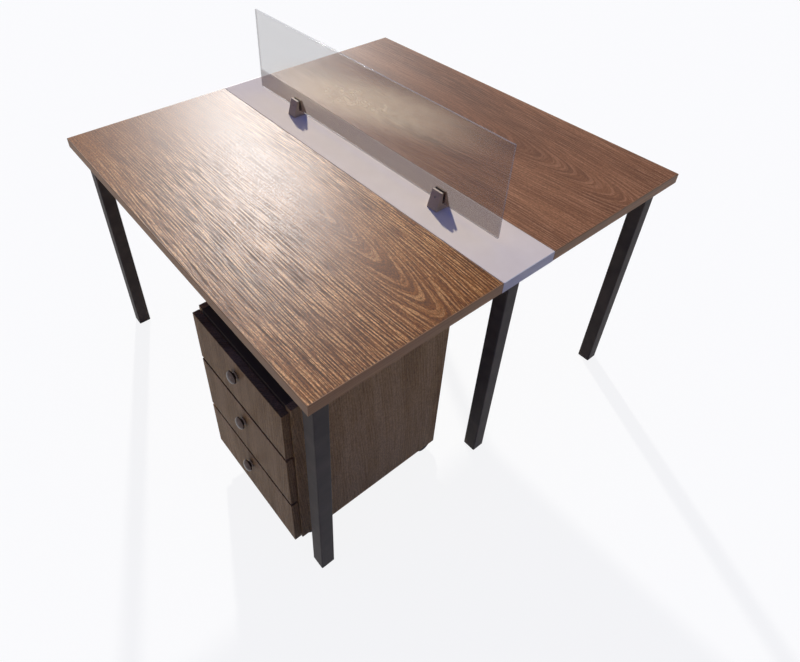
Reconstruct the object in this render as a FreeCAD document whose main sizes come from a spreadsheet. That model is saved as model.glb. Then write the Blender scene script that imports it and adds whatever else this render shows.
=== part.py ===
import FreeCAD, Part
import os
import re
import Sketcher
from FreeCAD import Placement, Rotation, Vector

# Two facing desks on one steel frame, with a shared centre strip, a glass screen and a mobile pedestal.
# Millimetres. The origin is on the floor under the middle of the table.
# X runs along the user edges, Y from the near user to the far one, Z up.

SIZES = {
    # Table
    "table_length": 1220,
    "table_width": 1236,
    "table_height": 750,
    "board_thickness": 30,
    "strip_width": 176,
    "joint_gap": 1,
    "band_thickness": 2,
    "board_round": 1.5,
    "overrun": 5,
    # Frame of square tube
    "leg_inset": 30,
    "tube_width": 40,
    "tube_wall": 2,
    "tube_round": 3,
    "foot_flange": 4,
    "foot_round": 1.5,
    "foot_plug_height": 22,
    "foot_plug_gap": 0.15,
    # Corner brackets and their bolts
    "bracket_reach": 56,
    "bracket_width": 34,
    "bracket_thickness": 4,
    "bracket_round": 5,
    "bracket_hole_inset": 18,
    "bolt_radius": 4,
    "bolt_hole_gap": 0.3,
    "bolt_length": 20,
    "bolt_head_radius": 7.5,
    "bolt_head_height": 5.3,
    # Lugs and joining plates that hold the boards
    "lug_length": 32,
    "lug_reach": 30,
    "lug_thickness": 3,
    "lug_spacing": 400,
    "plate_length": 60,
    "plate_width": 32,
    "plate_screw_inset": 14,
    # Wood screws
    "screw_radius": 2.2,
    "screw_hole_gap": 0.1,
    "screw_length": 22,
    "screw_head_radius": 4.4,
    "screw_head_height": 2.4,
    # Glass screen and its clips
    "glass_length": 1020,
    "glass_height": 250,
    "glass_thickness": 6,
    "glass_round": 0.8,
    "liner_thickness": 1,
    "clip_spacing": 624,
    "clip_length": 34,
    "clip_height": 50,
    "clip_base_depth": 46,
    "clip_top_depth": 18,
    "clip_foot_height": 4,
    "clip_round": 1.2,
    "clip_slot_depth": 32,
    "grub_radius": 2.5,
    "grub_length": 8.5,
    "grub_drop": 16,
    "clip_screw_spread": 26,
    "clip_screw_radius": 2.5,
    "clip_screw_bite": 14,
    "clip_screw_head_radius": 5,
    "clip_screw_head_height": 3.5,
    "clip_screw_gap": 0.1,
    # Pedestal cabinet
    "cabinet_edge_gap": 105,
    "cabinet_setback": 3,
    "cabinet_width": 396,
    "cabinet_depth": 472,
    "panel_thickness": 18,
    "panel_round": 1,
    "back_thickness": 8,
    "bottom_reveal": 5,
    "top_reveal": 10,
    "cabinet_headroom": 75,
    # Drawers
    "front_thickness": 19,
    "front_gap": 2,
    "front_side_reveal": 4,
    "front_spacing": 10,
    "front_round": 1.2,
    "front_1_share": 0.31,
    "front_2_share": 0.36,
    "tray_lift": 20,
    "tray_drop": 30,
    "tray_depth": 450,
    "tray_wall": 1.5,
    # Drawer runners
    "runner_space": 12.5,
    "runner_height": 34,
    "runner_wall": 1.5,
    "runner_lip": 10,
    "runner_length": 440,
    "runner_inset": 6,
    "runner_lift": 30,
    "runner_gap": 0.3,
    "slide_lip": 9,
    "runner_screw_inset": 60,
    # Knobs
    "knob_drop_share": 0.31,
    "knob_projection": 20,
    "knob_radius": 17,
    "knob_foot_radius": 10,
    "knob_neck_radius": 7.5,
    "knob_foot_height": 2.5,
    "knob_neck_height": 8,
    "knob_rim_height": 12,
    "knob_rim_thickness": 3.5,
    "knob_crown_radius": 7,
    "knob_round": 1.6,
    "knob_screw_radius": 2,
    "knob_screw_bite": 9,
    "knob_screw_gap": 0.1,
    # Casters
    "caster_height": 60,
    "caster_side_inset": 42,
    "caster_end_inset": 34,
    "caster_plate_width": 42,
    "caster_plate_thickness": 2.5,
    "caster_screw_inset": 6,
    "caster_trail": 18,
    "kingpin_radius": 3.5,
    "kingpin_length": 16,
    "running_gap": 0.05,
    "caster_head_gap": 0.3,
    "wheel_radius": 25,
    "wheel_width": 15,
    "wheel_round": 2.5,
    "wheel_side_gap": 0.5,
    "wheel_dish": 3,
    "wheel_rim": 4,
    "axle_radius": 3,
    "hub_radius": 7,
    "web_width": 12,
    "hood_gap": 1.2,
    "hood_thickness": 2.3,
    "hood_skirt": 4,
    "post_reach": 8,
}

PLANE_ROLES = {"top": "XY_Plane", "front": "XZ_Plane", "side": "YZ_Plane"}
NAME_PATTERN = re.compile(r"[a-z][a-z0-9_]+")
TOUCH = 1e-6
FULL_TURN = 360

doc = FreeCAD.newDocument("conference_table")
sheet = doc.addObject("Spreadsheet::Sheet", "Sizes")
for row, (size_name, size) in enumerate(SIZES.items(), start=1):
    sheet.set(f"A{row}", size_name)
    sheet.set(f"B{row}", str(size))
    sheet.setAlias(f"B{row}", size_name)
doc.recompute()

nodes = []


# Formulas

def formula(text):
    """The text with each size name turned into a reference to its cell."""
    def refer(found):
        return "Sizes." + found[0] if found[0] in SIZES else found[0]
    return NAME_PATTERN.sub(refer, str(text))


def number(text):
    """The value of a formula at the present sizes."""
    return float(sheet.evalExpression(formula(text)))


def bind(item, prop, text):
    item.setExpression(prop, formula(text))


def plus(*terms):
    return " + ".join(f"({term})" for term in terms)


def minus(first, *others):
    return " - ".join(f"({term})" for term in (first,) + others)


def half(text):
    return f"({text}) / 2"


def mirrored(sign, text):
    """The formula itself for a sign of 1, its negative for -1."""
    return f"({text})" if sign > 0 else f"-({text})"


# Building blocks

def place(item, spot, turn=None):
    """Put an object at a spot given as three formulas, with a fixed turn about its own origin."""
    item.Placement = Placement(Vector(), turn or Rotation())
    for axis, text in zip("xyz", spot):
        bind(item, f"Placement.Base.{axis}", text)
    return item


def block(name, low, high):
    """A box between two corners."""
    item = doc.addObject("Part::Box", name)
    for prop, start, end in zip(("Length", "Width", "Height"), low, high):
        bind(item, prop, minus(end, start))
    return place(item, low)


ALONG = {
    "+x": Rotation(Vector(0, 1, 0), 90),
    "-x": Rotation(Vector(0, 1, 0), -90),
    "+y": Rotation(Vector(1, 0, 0), -90),
    "-y": Rotation(Vector(1, 0, 0), 90),
    "+z": Rotation(),
    "-z": Rotation(Vector(1, 0, 0), 180),
}


def rod(name, radius, length, spot, along="+z"):
    """A cylinder that starts at a spot and runs along one axis."""
    item = doc.addObject("Part::Cylinder", name)
    bind(item, "Radius", radius)
    bind(item, "Height", length)
    return place(item, spot, ALONG[along])


def hexagon(name, radius, length, spot, along="+z"):
    """A six-sided head that starts at a spot and runs along one axis."""
    item = doc.addObject("Part::Prism", name)
    item.Polygon = 6
    bind(item, "Circumradius", radius)
    bind(item, "Height", length)
    return place(item, spot, ALONG[along])


def fuse(name, shapes):
    item = doc.addObject("Part::MultiFuse", name)
    item.Shapes = shapes
    return item


def cut(name, base, tools):
    """The base less all the tools."""
    item = doc.addObject("Part::Cut", name)
    item.Base = base
    item.Tool = tools[0] if len(tools) == 1 else fuse(name + "_tools", tools)
    return item


def group(name, pieces):
    """Separate solids kept together as one set."""
    item = doc.addObject("Part::Compound", name)
    item.Links = pieces
    return item


def node(name, item):
    """Name a finished sub-part."""
    item.Label = name
    nodes.append(item)
    return item


def new_body(name):
    return doc.addObject("PartDesign::Body", name)


def new_sketch(body, name, plane):
    """A sketch on one of the body's own origin planes."""
    sketch = body.newObject("Sketcher::SketchObject", name)
    role = PLANE_ROLES[plane]
    origin_plane = next(item for item in body.Origin.OriginFeatures if item.Role == role)
    sketch.AttachmentSupport = [(origin_plane, "")]
    sketch.MapMode = "FlatFace"
    return sketch


def hold(sketch, shape, point, spot):
    """Hold a point of a sketch at its two distances from the origin."""
    for kind, text in zip(("DistanceX", "DistanceY"), spot):
        rule = Sketcher.Constraint(kind, -1, 1, shape, point, number(text))
        bind(sketch, f"Constraints[{sketch.addConstraint(rule)}]", text)


def outline(sketch, corners):
    """A closed straight-sided outline through the corners."""
    first = sketch.GeometryCount
    spots = [Vector(number(x), number(y), 0) for x, y in corners]
    for start, end in zip(spots, spots[1:] + spots[:1]):
        sketch.addGeometry(Part.LineSegment(start, end))
    count = len(corners)
    for index, corner in enumerate(corners):
        following = first + (index + 1) % count
        sketch.addConstraint(Sketcher.Constraint("Coincident", first + index, 2, following, 1))
    for index, corner in enumerate(corners):
        hold(sketch, first + index, 1, corner)


def rectangle(sketch, low, high):
    outline(sketch, [low, (high[0], low[1]), high, (low[0], high[1])])


def centred_rectangle(sketch, width, height):
    rectangle(sketch, (f"-({half(width)})", f"-({half(height)})"), (half(width), half(height)))


def pad(body, sketch, length, midplane=False):
    feature = body.newObject("PartDesign::Pad", sketch.Name + "_pad")
    feature.Profile = sketch
    feature.Midplane = midplane
    bind(feature, "Length", length)
    sketch.Visibility = False
    doc.recompute()
    return feature


def pocket(body, sketch, depth):
    """A pocket cut upwards from a level sketch, which must take material away."""
    before = body.Shape.Volume
    feature = body.newObject("PartDesign::Pocket", sketch.Name + "_pocket")
    feature.Profile = sketch
    feature.Reversed = True
    bind(feature, "Length", depth)
    doc.recompute()
    if not body.Shape.Volume < before:
        raise RuntimeError(f"{feature.Name} cuts nothing")
    return feature


def revolve(body, sketch, axis):
    """Turn a half section once about one of its sketch's own axes."""
    feature = body.newObject("PartDesign::Revolution", sketch.Name + "_turned")
    feature.Profile = sketch
    feature.ReferenceAxis = (sketch, [axis])
    feature.Angle = FULL_TURN
    sketch.Visibility = False
    doc.recompute()
    return feature


def round_edges(body, radius, wanted):
    """Round the edges of the body's last feature that a test picks."""
    tip = body.Tip
    names = [f"Edge{index}" for index, edge in enumerate(tip.Shape.Edges, start=1) if wanted(edge)]
    feature = body.newObject("PartDesign::Fillet", f"{body.Name}_round_{len(body.Group)}")
    feature.Base = (tip, names)
    bind(feature, "Radius", radius)
    doc.recompute()
    return feature


def span(edge, axis):
    box = edge.BoundBox
    return {"x": box.XLength, "y": box.YLength, "z": box.ZLength}[axis]


def runs_along(axis):
    """A test for straight edges along one axis."""
    def test(edge):
        return all(span(edge, other) < TOUCH for other in "xyz" if other != axis)
    return test


def near(value, text):
    return abs(value - number(text)) < TOUCH


def upright_at(x, y):
    """A test for the upright edges at plus and minus x and plus and minus y."""
    upright = runs_along("z")
    return lambda edge: (upright(edge) and near(abs(edge.CenterOfMass.x), x)
                         and near(abs(edge.CenterOfMass.y), y))


def is_level(edge):
    return span(edge, "z") < TOUCH


# Heights and lines that several pieces share

UNDER_BOARD = "table_height - board_thickness"
UNDER_TUBE = minus(UNDER_BOARD, "tube_width")
HALF_LENGTH = half("table_length")
HALF_WIDTH = half("table_width")
HALF_TUBE = half("tube_width")
LEG_X = minus(HALF_LENGTH, "leg_inset", HALF_TUBE)
LEG_Y = minus(HALF_WIDTH, "leg_inset", HALF_TUBE)
BOARD_INNER = plus(half("strip_width"), "joint_gap")

SIDES_X = {"left": -1, "right": 1}
SIDES_Y = {"near": -1, "far": 1}
LINES_Y = {"near": -1, "mid": 0, "far": 1}


def line_y(sign):
    return mirrored(sign, LEG_Y) if sign else "0"


# Fasteners

def wood_screw(name, spot, along, length="screw_length"):
    """A pan head under a spot on the surface, with its shank along one axis past it."""
    x, y, z = spot
    step = "-(screw_head_height)"
    starts = {
        "+x": (plus(x, step), y, z),
        "-x": (minus(x, step), y, z),
        "+z": (x, y, plus(z, step)),
    }
    head = rod(name + "_head", "screw_head_radius", "screw_head_height", starts[along], along)
    shank = rod(name + "_shank", "screw_radius", length, spot, along)
    return fuse(name, [head, shank])


def screw_hole(name, spot, along, length):
    return rod(name, plus("screw_radius", "screw_hole_gap"), length, spot, along)


def bolt(name, spot, along):
    """A hexagon head on a surface, with its shank through it."""
    x, y, z = spot
    starts = {
        "+x": (minus(x, "bolt_head_height"), y, z),
        "-x": (plus(x, "bolt_head_height"), y, z),
        "+z": (x, y, minus(z, "bolt_head_height")),
    }
    head = hexagon(name + "_head", "bolt_head_radius", "bolt_head_height", starts[along], along)
    shank = rod(name + "_shank", "bolt_radius", "bolt_length", spot, along)
    return fuse(name, [head, shank])


def bolt_hole(name, spot, along, length):
    return rod(name, plus("bolt_radius", "bolt_hole_gap"), length, spot, along)


# Places of the lugs and joining plates, each with the board that it holds

def lug_table():
    """Name, line of the tube's face, direction out of it and the screw's spot for each lug."""
    under = minus(UNDER_BOARD, "lug_thickness")
    lugs = []
    steps = {"a": "-(lug_spacing)", "b": "0", "c": "lug_spacing"}
    for side, sign in SIDES_Y.items():
        face = mirrored(sign, minus(LEG_Y, HALF_TUBE))
        tip = mirrored(sign, minus(LEG_Y, HALF_TUBE, "lug_reach"))
        for step, x in steps.items():
            lugs.append((f"{side}_{step}", side, x, half(plus(face, tip)), under, "x"))
        inner = mirrored(sign, HALF_TUBE)
        outer = mirrored(sign, plus(HALF_TUBE, "lug_reach"))
        for step, x in steps.items():
            lugs.append((f"mid_{side}_{step}", "strip", x, half(plus(inner, outer)), under, "x"))
        for end, end_sign in SIDES_X.items():
            x = mirrored(end_sign, minus(LEG_X, HALF_TUBE, half("lug_reach")))
            lugs.append((f"end_{side}_{end}", side, x, half(mirrored(sign, LEG_Y)), under, "y"))
    return lugs


def plate_table():
    """Name, side and centre of each plate that joins a desktop to the strip."""
    steps = {"a": "-(lug_spacing)", "b": "0", "c": "lug_spacing"}
    joint = plus(half("strip_width"), half("joint_gap"))
    return [(f"{side}_{step}", side, x, mirrored(sign, joint))
            for side, sign in SIDES_Y.items() for step, x in steps.items()]


LUGS = lug_table()
PLATES = plate_table()


def plate_screw_spots(side, x, y):
    """The two screws of a joining plate: one in the strip, one in the desktop."""
    reach = minus(half("plate_length"), "plate_screw_inset")
    sign = SIDES_Y[side]
    under = minus(UNDER_BOARD, "lug_thickness")
    return {"strip": (x, minus(y, mirrored(sign, reach)), under),
            side: (x, plus(y, mirrored(sign, reach)), under)}


def board_holes(board):
    """Pilot holes in one board for every screw that reaches it."""
    depth = plus("screw_length", "screw_hole_gap")
    spots = [(name, (x, y, z)) for name, owner, x, y, z, _ in LUGS if owner == board]
    for name, side, x, y in PLATES:
        for owner, spot in plate_screw_spots(side, x, y).items():
            if owner == board:
                spots.append((f"plate_{name}_{owner}", spot))
    return [screw_hole(f"{board}_pilot_{name}", spot, "+z", depth) for name, spot in spots]


# Desktops with their edge bands

for side, sign in SIDES_Y.items():
    band = new_body(f"edge_band_{side}_body")
    band_plan = new_sketch(band, f"edge_band_{side}_plan", "top")
    depth = minus(HALF_WIDTH, BOARD_INNER)
    centred_rectangle(band_plan, "table_length", depth)
    centred_rectangle(band_plan, *(minus(size, "band_thickness * 2") for size in ("table_length", depth)))
    pad(band, band_plan, "board_thickness")
    outer_x = half("table_length")
    outer_y = half(depth)
    round_edges(band, "board_round", lambda edge: is_level(edge) and (
        near(abs(edge.CenterOfMass.x), outer_x) or near(abs(edge.CenterOfMass.y), outer_y)))
    middle = mirrored(sign, half(plus(HALF_WIDTH, BOARD_INNER)))
    node(f"edge_band_{side}", place(band, ("0", middle, UNDER_BOARD)))

    low_y, high_y = sorted((mirrored(sign, minus(HALF_WIDTH, "band_thickness")),
                            mirrored(sign, plus(BOARD_INNER, "band_thickness"))), key=number)
    core_x = minus(HALF_LENGTH, "band_thickness")
    core = block(f"desktop_{side}_core", (f"-({core_x})", low_y, UNDER_BOARD),
                 (core_x, high_y, "table_height"))
    node(f"desktop_{side}", cut(f"desktop_{side}", core, board_holes(side)))

# Centre strip, with end bands and the holes for the clips' screws

clip_spots = [(f"{end}_{side}", mirrored(end_sign, half("clip_spacing")),
               mirrored(sign, half("clip_screw_spread")))
              for end, end_sign in SIDES_X.items() for side, sign in SIDES_Y.items()]
strip_x = minus(HALF_LENGTH, "band_thickness")
strip_y = half("strip_width")
strip = block("centre_strip_board", (f"-({strip_x})", f"-({strip_y})", UNDER_BOARD),
              (strip_x, strip_y, "table_height"))
strip_holes = board_holes("strip")
for name, x, y in clip_spots:
    through = rod(f"strip_hole_{name}", plus("clip_screw_radius", "clip_screw_gap"),
                  plus("board_thickness", "overrun * 2"), (x, y, minus(UNDER_BOARD, "overrun")))
    recess = rod(f"strip_recess_{name}", plus("clip_screw_head_radius", "clip_screw_gap"),
                 plus("clip_screw_head_height", "clip_screw_gap", "overrun"),
                 (x, y, minus(UNDER_BOARD, "overrun")))
    strip_holes += [through, recess]
node("centre_strip", cut("centre_strip", strip, strip_holes))

end_bands = []
for end, sign in SIDES_X.items():
    outer, inner = mirrored(sign, HALF_LENGTH), mirrored(sign, strip_x)
    low_x, high_x = sorted((outer, inner), key=number)
    end_bands.append(block(f"strip_band_{end}", (low_x, f"-({strip_y})", UNDER_BOARD),
                           (high_x, strip_y, "table_height")))
node("strip_end_bands", group("strip_end_bands", end_bands))


# Square tube for the legs, rails and beams

def tube(name, length, spot, along):
    """A length of rounded square tube."""
    body = new_body(name + "_tube")
    section = new_sketch(body, name + "_section", "top")
    bore = minus("tube_width", "tube_wall * 2")
    centred_rectangle(section, "tube_width", "tube_width")
    centred_rectangle(section, bore, bore)
    pad(body, section, length)
    round_edges(body, "tube_round", upright_at(HALF_TUBE, HALF_TUBE))
    round_edges(body, minus("tube_round", "tube_wall"), upright_at(half(bore), half(bore)))
    return place(body, spot, ALONG[along])


BRACKET_DROP = minus(UNDER_TUBE, "bracket_reach", "-(bracket_hole_inset)")
BRACKET_RUN = minus(LEG_X, HALF_TUBE, "bracket_reach", "-(bracket_hole_inset)")

leg_names = []
for end, end_sign in SIDES_X.items():
    for line, sign in LINES_Y.items():
        name = f"leg_{line}_{end}"
        x, y = mirrored(end_sign, LEG_X), line_y(sign)
        post = tube(name, minus(UNDER_BOARD, "foot_flange"), (x, y, "foot_flange"), "+z")
        inward = "-x" if end_sign > 0 else "+x"
        hole = bolt_hole(name + "_bolt_hole", (x, y, BRACKET_DROP), inward, "tube_width")
        node(name, cut(name, post, [hole]))

for end, end_sign in SIDES_X.items():
    for side, sign in SIDES_Y.items():
        name = f"end_rail_{side}_{end}"
        start = mirrored(sign, HALF_TUBE)
        spot = (mirrored(end_sign, LEG_X), start, minus(UNDER_BOARD, HALF_TUBE))
        node(name, tube(name, minus(LEG_Y, "tube_width"), spot, "+y" if sign > 0 else "-y"))

for line, sign in LINES_Y.items():
    name = f"beam_{line}"
    spot = (f"-({minus(LEG_X, HALF_TUBE)})", line_y(sign), minus(UNDER_BOARD, HALF_TUBE))
    rail = tube(name, minus(f"({LEG_X}) * 2", "tube_width"), spot, "+x")
    holes = [bolt_hole(f"{name}_bolt_hole_{end}",
                       (mirrored(end_sign, BRACKET_RUN), line_y(sign), minus(UNDER_TUBE, "overrun")),
                       "+z", plus("overrun", "tube_wall", "overrun")) for end, end_sign in SIDES_X.items()]
    node(name, cut(name, rail, holes))


# Push-in feet of the legs

def foot(name, spot):
    body = new_body(name + "_body")
    flange = new_sketch(body, name + "_flange", "top")
    centred_rectangle(flange, "tube_width", "tube_width")
    pad(body, flange, "foot_flange")
    round_edges(body, "tube_round", runs_along("z"))
    round_edges(body, "foot_round", lambda edge: near(edge.BoundBox.ZMax, "0"))
    plug = new_sketch(body, name + "_plug", "top")
    width = minus("tube_width", "tube_wall * 2", "foot_plug_gap * 2")
    centred_rectangle(plug, width, width)
    pad(body, plug, plus("foot_flange", "foot_plug_height"))
    round_edges(body, "tube_wall", upright_at(half(width), half(width)))
    return place(body, spot)


feet = [foot(f"foot_{line}_{end}", (mirrored(end_sign, LEG_X), line_y(sign), "0"))
        for end, end_sign in SIDES_X.items() for line, sign in LINES_Y.items()]
node("leg_feet", group("leg_feet", feet))


# Angle brackets between the legs and the beams

def bracket(name, spot, turn):
    """An angle with one flange down the leg and one flange under the beam, drawn for the left end."""
    body = new_body(name + "_body")
    profile = new_sketch(body, name + "_profile", "front")
    outline(profile, [("0", "0"), ("bracket_reach", "0"), ("bracket_reach", "-(bracket_thickness)"),
                      ("bracket_thickness", "-(bracket_thickness)"),
                      ("bracket_thickness", "-(bracket_reach)"), ("0", "-(bracket_reach)")])
    pad(body, profile, "bracket_width", midplane=True)
    across_arm = runs_along("y")
    round_edges(body, "bracket_round", lambda edge: (
        across_arm(edge) and near(edge.CenterOfMass.x, "bracket_thickness")
        and near(edge.CenterOfMass.z, "-(bracket_thickness)")))
    hole_run = minus("bracket_reach", "bracket_hole_inset")
    deep = plus("bracket_thickness", "overrun * 2")
    across = bolt_hole(name + "_leg_hole", ("-(overrun)", "0", f"-({hole_run})"), "+x", deep)
    below = plus("bracket_thickness", "overrun")
    up = bolt_hole(name + "_beam_hole", (hole_run, "0", f"-({below})"), "+z", deep)
    item = cut(name, body, [across, up])
    return place(item, spot, turn)


brackets, bolts = [], []
inner_face = minus(LEG_X, HALF_TUBE)
for end, end_sign in SIDES_X.items():
    turn = Rotation() if end_sign < 0 else Rotation(Vector(0, 0, 1), 180)
    for line, sign in LINES_Y.items():
        name = f"{line}_{end}"
        y = line_y(sign)
        brackets.append(bracket(f"bracket_{name}", (mirrored(end_sign, inner_face), y, UNDER_TUBE), turn))
        face = mirrored(end_sign, minus(inner_face, "bracket_thickness"))
        bolts.append(bolt(f"leg_bolt_{name}", (face, y, BRACKET_DROP), "+x" if end_sign > 0 else "-x"))
        under = minus(UNDER_TUBE, "bracket_thickness")
        bolts.append(bolt(f"beam_bolt_{name}", (mirrored(end_sign, BRACKET_RUN), y, under), "+z"))
node("beam_brackets", group("beam_brackets", brackets))
node("bracket_bolts", group("bracket_bolts", bolts))

# Lugs welded to the tubes, plates across the board joints, and the screws up through them

lug_plates, screws = [], []
for name, owner, x, y, z, along in LUGS:
    length_x, length_y = ("lug_length", "lug_reach") if along == "x" else ("lug_reach", "lug_length")
    plate = block(f"lug_{name}_plate", (minus(x, half(length_x)), minus(y, half(length_y)), z),
                  (plus(x, half(length_x)), plus(y, half(length_y)), UNDER_BOARD))
    hole = screw_hole(f"lug_{name}_hole", (x, y, minus(z, "overrun")), "+z",
                      plus("lug_thickness", "overrun * 2"))
    lug_plates.append(cut(f"lug_{name}", plate, [hole]))
    screws.append(wood_screw(f"lug_screw_{name}", (x, y, z), "+z"))
node("fixing_lugs", group("fixing_lugs", lug_plates))

join_plates = []
for name, side, x, y in PLATES:
    under = minus(UNDER_BOARD, "lug_thickness")
    reach_x, reach_y = half("plate_width"), half("plate_length")
    plate = block(f"join_{name}_plate", (minus(x, reach_x), minus(y, reach_y), under),
                  (plus(x, reach_x), plus(y, reach_y), UNDER_BOARD))
    holes = []
    for owner, (screw_x, screw_y, screw_z) in plate_screw_spots(side, x, y).items():
        holes.append(screw_hole(f"join_{name}_hole_{owner}", (screw_x, screw_y, minus(under, "overrun")),
                                "+z", plus("lug_thickness", "overrun * 2")))
        screws.append(wood_screw(f"join_screw_{name}_{owner}", (screw_x, screw_y, screw_z), "+z"))
    join_plates.append(cut(f"join_{name}", plate, holes))
node("joint_plates", group("joint_plates", join_plates))
node("board_screws", group("board_screws", screws))

# Glass screen

SLOT_FLOOR = plus("table_height", "clip_height", "-(clip_slot_depth)")
glass = new_body("glass_body")
glass_plan = new_sketch(glass, "glass_plan", "top")
centred_rectangle(glass_plan, "glass_length", "glass_thickness")
pad(glass, glass_plan, "glass_height")
round_edges(glass, "glass_round", lambda edge: True)
node("glass_screen", place(glass, ("0", "0", plus(SLOT_FLOOR, "liner_thickness"))))

# Screen clips: tapered blocks with a slot, rubber liners, a grub screw and two screws from below

SLOT_HALF = plus(half("glass_thickness"), "liner_thickness")
liners, grubs, clip_screws = [], [], []
for end, end_sign in SIDES_X.items():
    name = f"clip_{end}"
    body = new_body(name + "_body")
    profile = new_sketch(body, name + "_profile", "side")
    base, top = half("clip_base_depth"), half("clip_top_depth")
    floor = minus("clip_height", "clip_slot_depth")
    outline(profile, [(f"-({base})", "0"), (base, "0"), (base, "clip_foot_height"), (top, "clip_height"),
                      (SLOT_HALF, "clip_height"), (SLOT_HALF, floor), (f"-({SLOT_HALF})", floor),
                      (f"-({SLOT_HALF})", "clip_height"), (f"-({top})", "clip_height"),
                      (f"-({base})", "clip_foot_height")])
    pad(body, profile, "clip_length", midplane=True)
    slot_edge = number(SLOT_HALF)
    round_edges(body, "clip_round",
                lambda edge: abs(edge.CenterOfMass.y) > slot_edge + TOUCH and edge.CenterOfMass.z > TOUCH)
    x = mirrored(end_sign, half("clip_spacing"))
    grub_z = minus("clip_height", "grub_drop")
    tools = [rod(name + "_grub_hole", plus("grub_radius", "clip_screw_gap"), half("clip_base_depth"),
                 ("0", f"-({SLOT_HALF})", grub_z), "-y")]
    for side, sign in SIDES_Y.items():
        y = mirrored(sign, half("clip_screw_spread"))
        tools.append(rod(f"{name}_screw_hole_{side}", plus("clip_screw_radius", "clip_screw_gap"),
                         plus("clip_screw_bite", "overrun"), ("0", y, "-(overrun)")))
        shank_length = minus(plus("board_thickness", "clip_screw_bite"), "clip_screw_head_height",
                             "clip_screw_gap * 2")
        shank = rod(f"{name}_shank_{side}", "clip_screw_radius", shank_length,
                    (x, y, plus(UNDER_BOARD, "clip_screw_gap", "clip_screw_head_height")))
        head = rod(f"{name}_head_{side}", "clip_screw_head_radius", "clip_screw_head_height",
                   (x, y, plus(UNDER_BOARD, "clip_screw_gap")))
        clip_screws.append(fuse(f"{name}_screw_{side}", [head, shank]))
    node(name, place(cut(name, body, tools), (x, "0", "table_height")))

    half_clip = half("clip_length")
    outer = block(f"{name}_liner_outer", (minus(x, half_clip), f"-({SLOT_HALF})", SLOT_FLOOR),
                  (plus(x, half_clip), SLOT_HALF, plus("table_height", "clip_height")))
    half_glass = half("glass_thickness")
    inner = block(f"{name}_liner_inner",
                  (minus(x, half_clip, "overrun"), f"-({half_glass})", plus(SLOT_FLOOR, "liner_thickness")),
                  (plus(x, half_clip, "overrun"), half_glass, plus("table_height", "clip_height", "overrun")))
    liners.append(cut(f"{name}_liner", outer, [inner]))
    grubs.append(rod(f"{name}_grub", "grub_radius", "grub_length",
                     (x, f"-({SLOT_HALF})", plus("table_height", grub_z)), "-y"))
node("clip_liners", group("clip_liners", liners))
node("clip_grub_screws", group("clip_grub_screws", grubs))
node("clip_fixing_screws", group("clip_fixing_screws", clip_screws))

# Pedestal cabinet

RIGHT = minus(HALF_LENGTH, "cabinet_edge_gap")
LEFT = minus(RIGHT, "cabinet_width")
MIDDLE = half(plus(LEFT, RIGHT))
FRONT_FACE = plus(f"-({HALF_WIDTH})", "cabinet_setback")
CABINET_FRONT = plus(FRONT_FACE, "front_thickness", "front_gap")
CABINET_REAR = plus(CABINET_FRONT, "cabinet_depth")
CABINET_BOTTOM = "caster_height"
FRONTS_BOTTOM = plus(CABINET_BOTTOM, "bottom_reveal")
CABINET_TOP = minus(UNDER_TUBE, "cabinet_headroom")
FRONTS_ROOM = minus(CABINET_TOP, "top_reveal", FRONTS_BOTTOM, "front_spacing * 2")
FRONT_HEIGHTS = {1: f"({FRONTS_ROOM}) * front_1_share", 2: f"({FRONTS_ROOM}) * front_2_share"}
FRONT_HEIGHTS[3] = minus(FRONTS_ROOM, FRONT_HEIGHTS[1], FRONT_HEIGHTS[2])
FRONT_BOTTOMS = {3: FRONTS_BOTTOM}
FRONT_BOTTOMS[2] = plus(FRONT_BOTTOMS[3], FRONT_HEIGHTS[3], "front_spacing")
FRONT_BOTTOMS[1] = plus(FRONT_BOTTOMS[2], FRONT_HEIGHTS[2], "front_spacing")
INNER_LEFT = plus(LEFT, "panel_thickness")
INNER_RIGHT = minus(RIGHT, "panel_thickness")
INNER_FACES = {"left": (INNER_LEFT, -1), "right": (INNER_RIGHT, 1)}
RUNNER_START = plus(CABINET_FRONT, "runner_inset")
RUNNER_LEVELS = {level: plus(bottom, "tray_lift", "runner_lift")
                 for level, bottom in FRONT_BOTTOMS.items()}
RUNNER_SCREWS = {"front": plus(RUNNER_START, "runner_screw_inset"),
                 "rear": plus(RUNNER_START, minus("runner_length", "runner_screw_inset"))}
PANEL_PILOT = minus("panel_thickness", "screw_head_height")
PANEL_SCREW = minus(PANEL_PILOT, "screw_hole_gap")
cabinet_screws = []


def runner_screw_spots(level, x):
    """The two screws of a runner at one drawer level, on a plane across X."""
    return {spot_name: (x, y, RUNNER_LEVELS[level]) for spot_name, y in RUNNER_SCREWS.items()}


def panel(name, width, depth, height, spot):
    """A board with eased edges, drawn from its lowest corner."""
    body = new_body(name + "_body")
    plan = new_sketch(body, name + "_plan", "top")
    rectangle(plan, ("0", "0"), (width, depth))
    pad(body, plan, height)
    return place(body, spot)


for end, start in {"left": LEFT, "right": INNER_RIGHT}.items():
    name = f"cabinet_side_{end}"
    body = panel(name, "panel_thickness", "cabinet_depth", minus(CABINET_TOP, CABINET_BOTTOM),
                 (start, CABINET_FRONT, CABINET_BOTTOM))
    outer_face = "0" if end == "left" else "panel_thickness"
    round_edges(body, "panel_round", lambda edge: near(edge.CenterOfMass.x, outer_face))
    face, sign = INNER_FACES[end]
    pilots = [screw_hole(f"{name}_pilot_{level}_{spot_name}", spot, "+x" if sign > 0 else "-x",
                         minus(PANEL_PILOT, "runner_wall"))
              for level in FRONT_HEIGHTS for spot_name, spot in runner_screw_spots(level, face).items()]
    node(name, cut(name, body, pilots))

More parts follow.
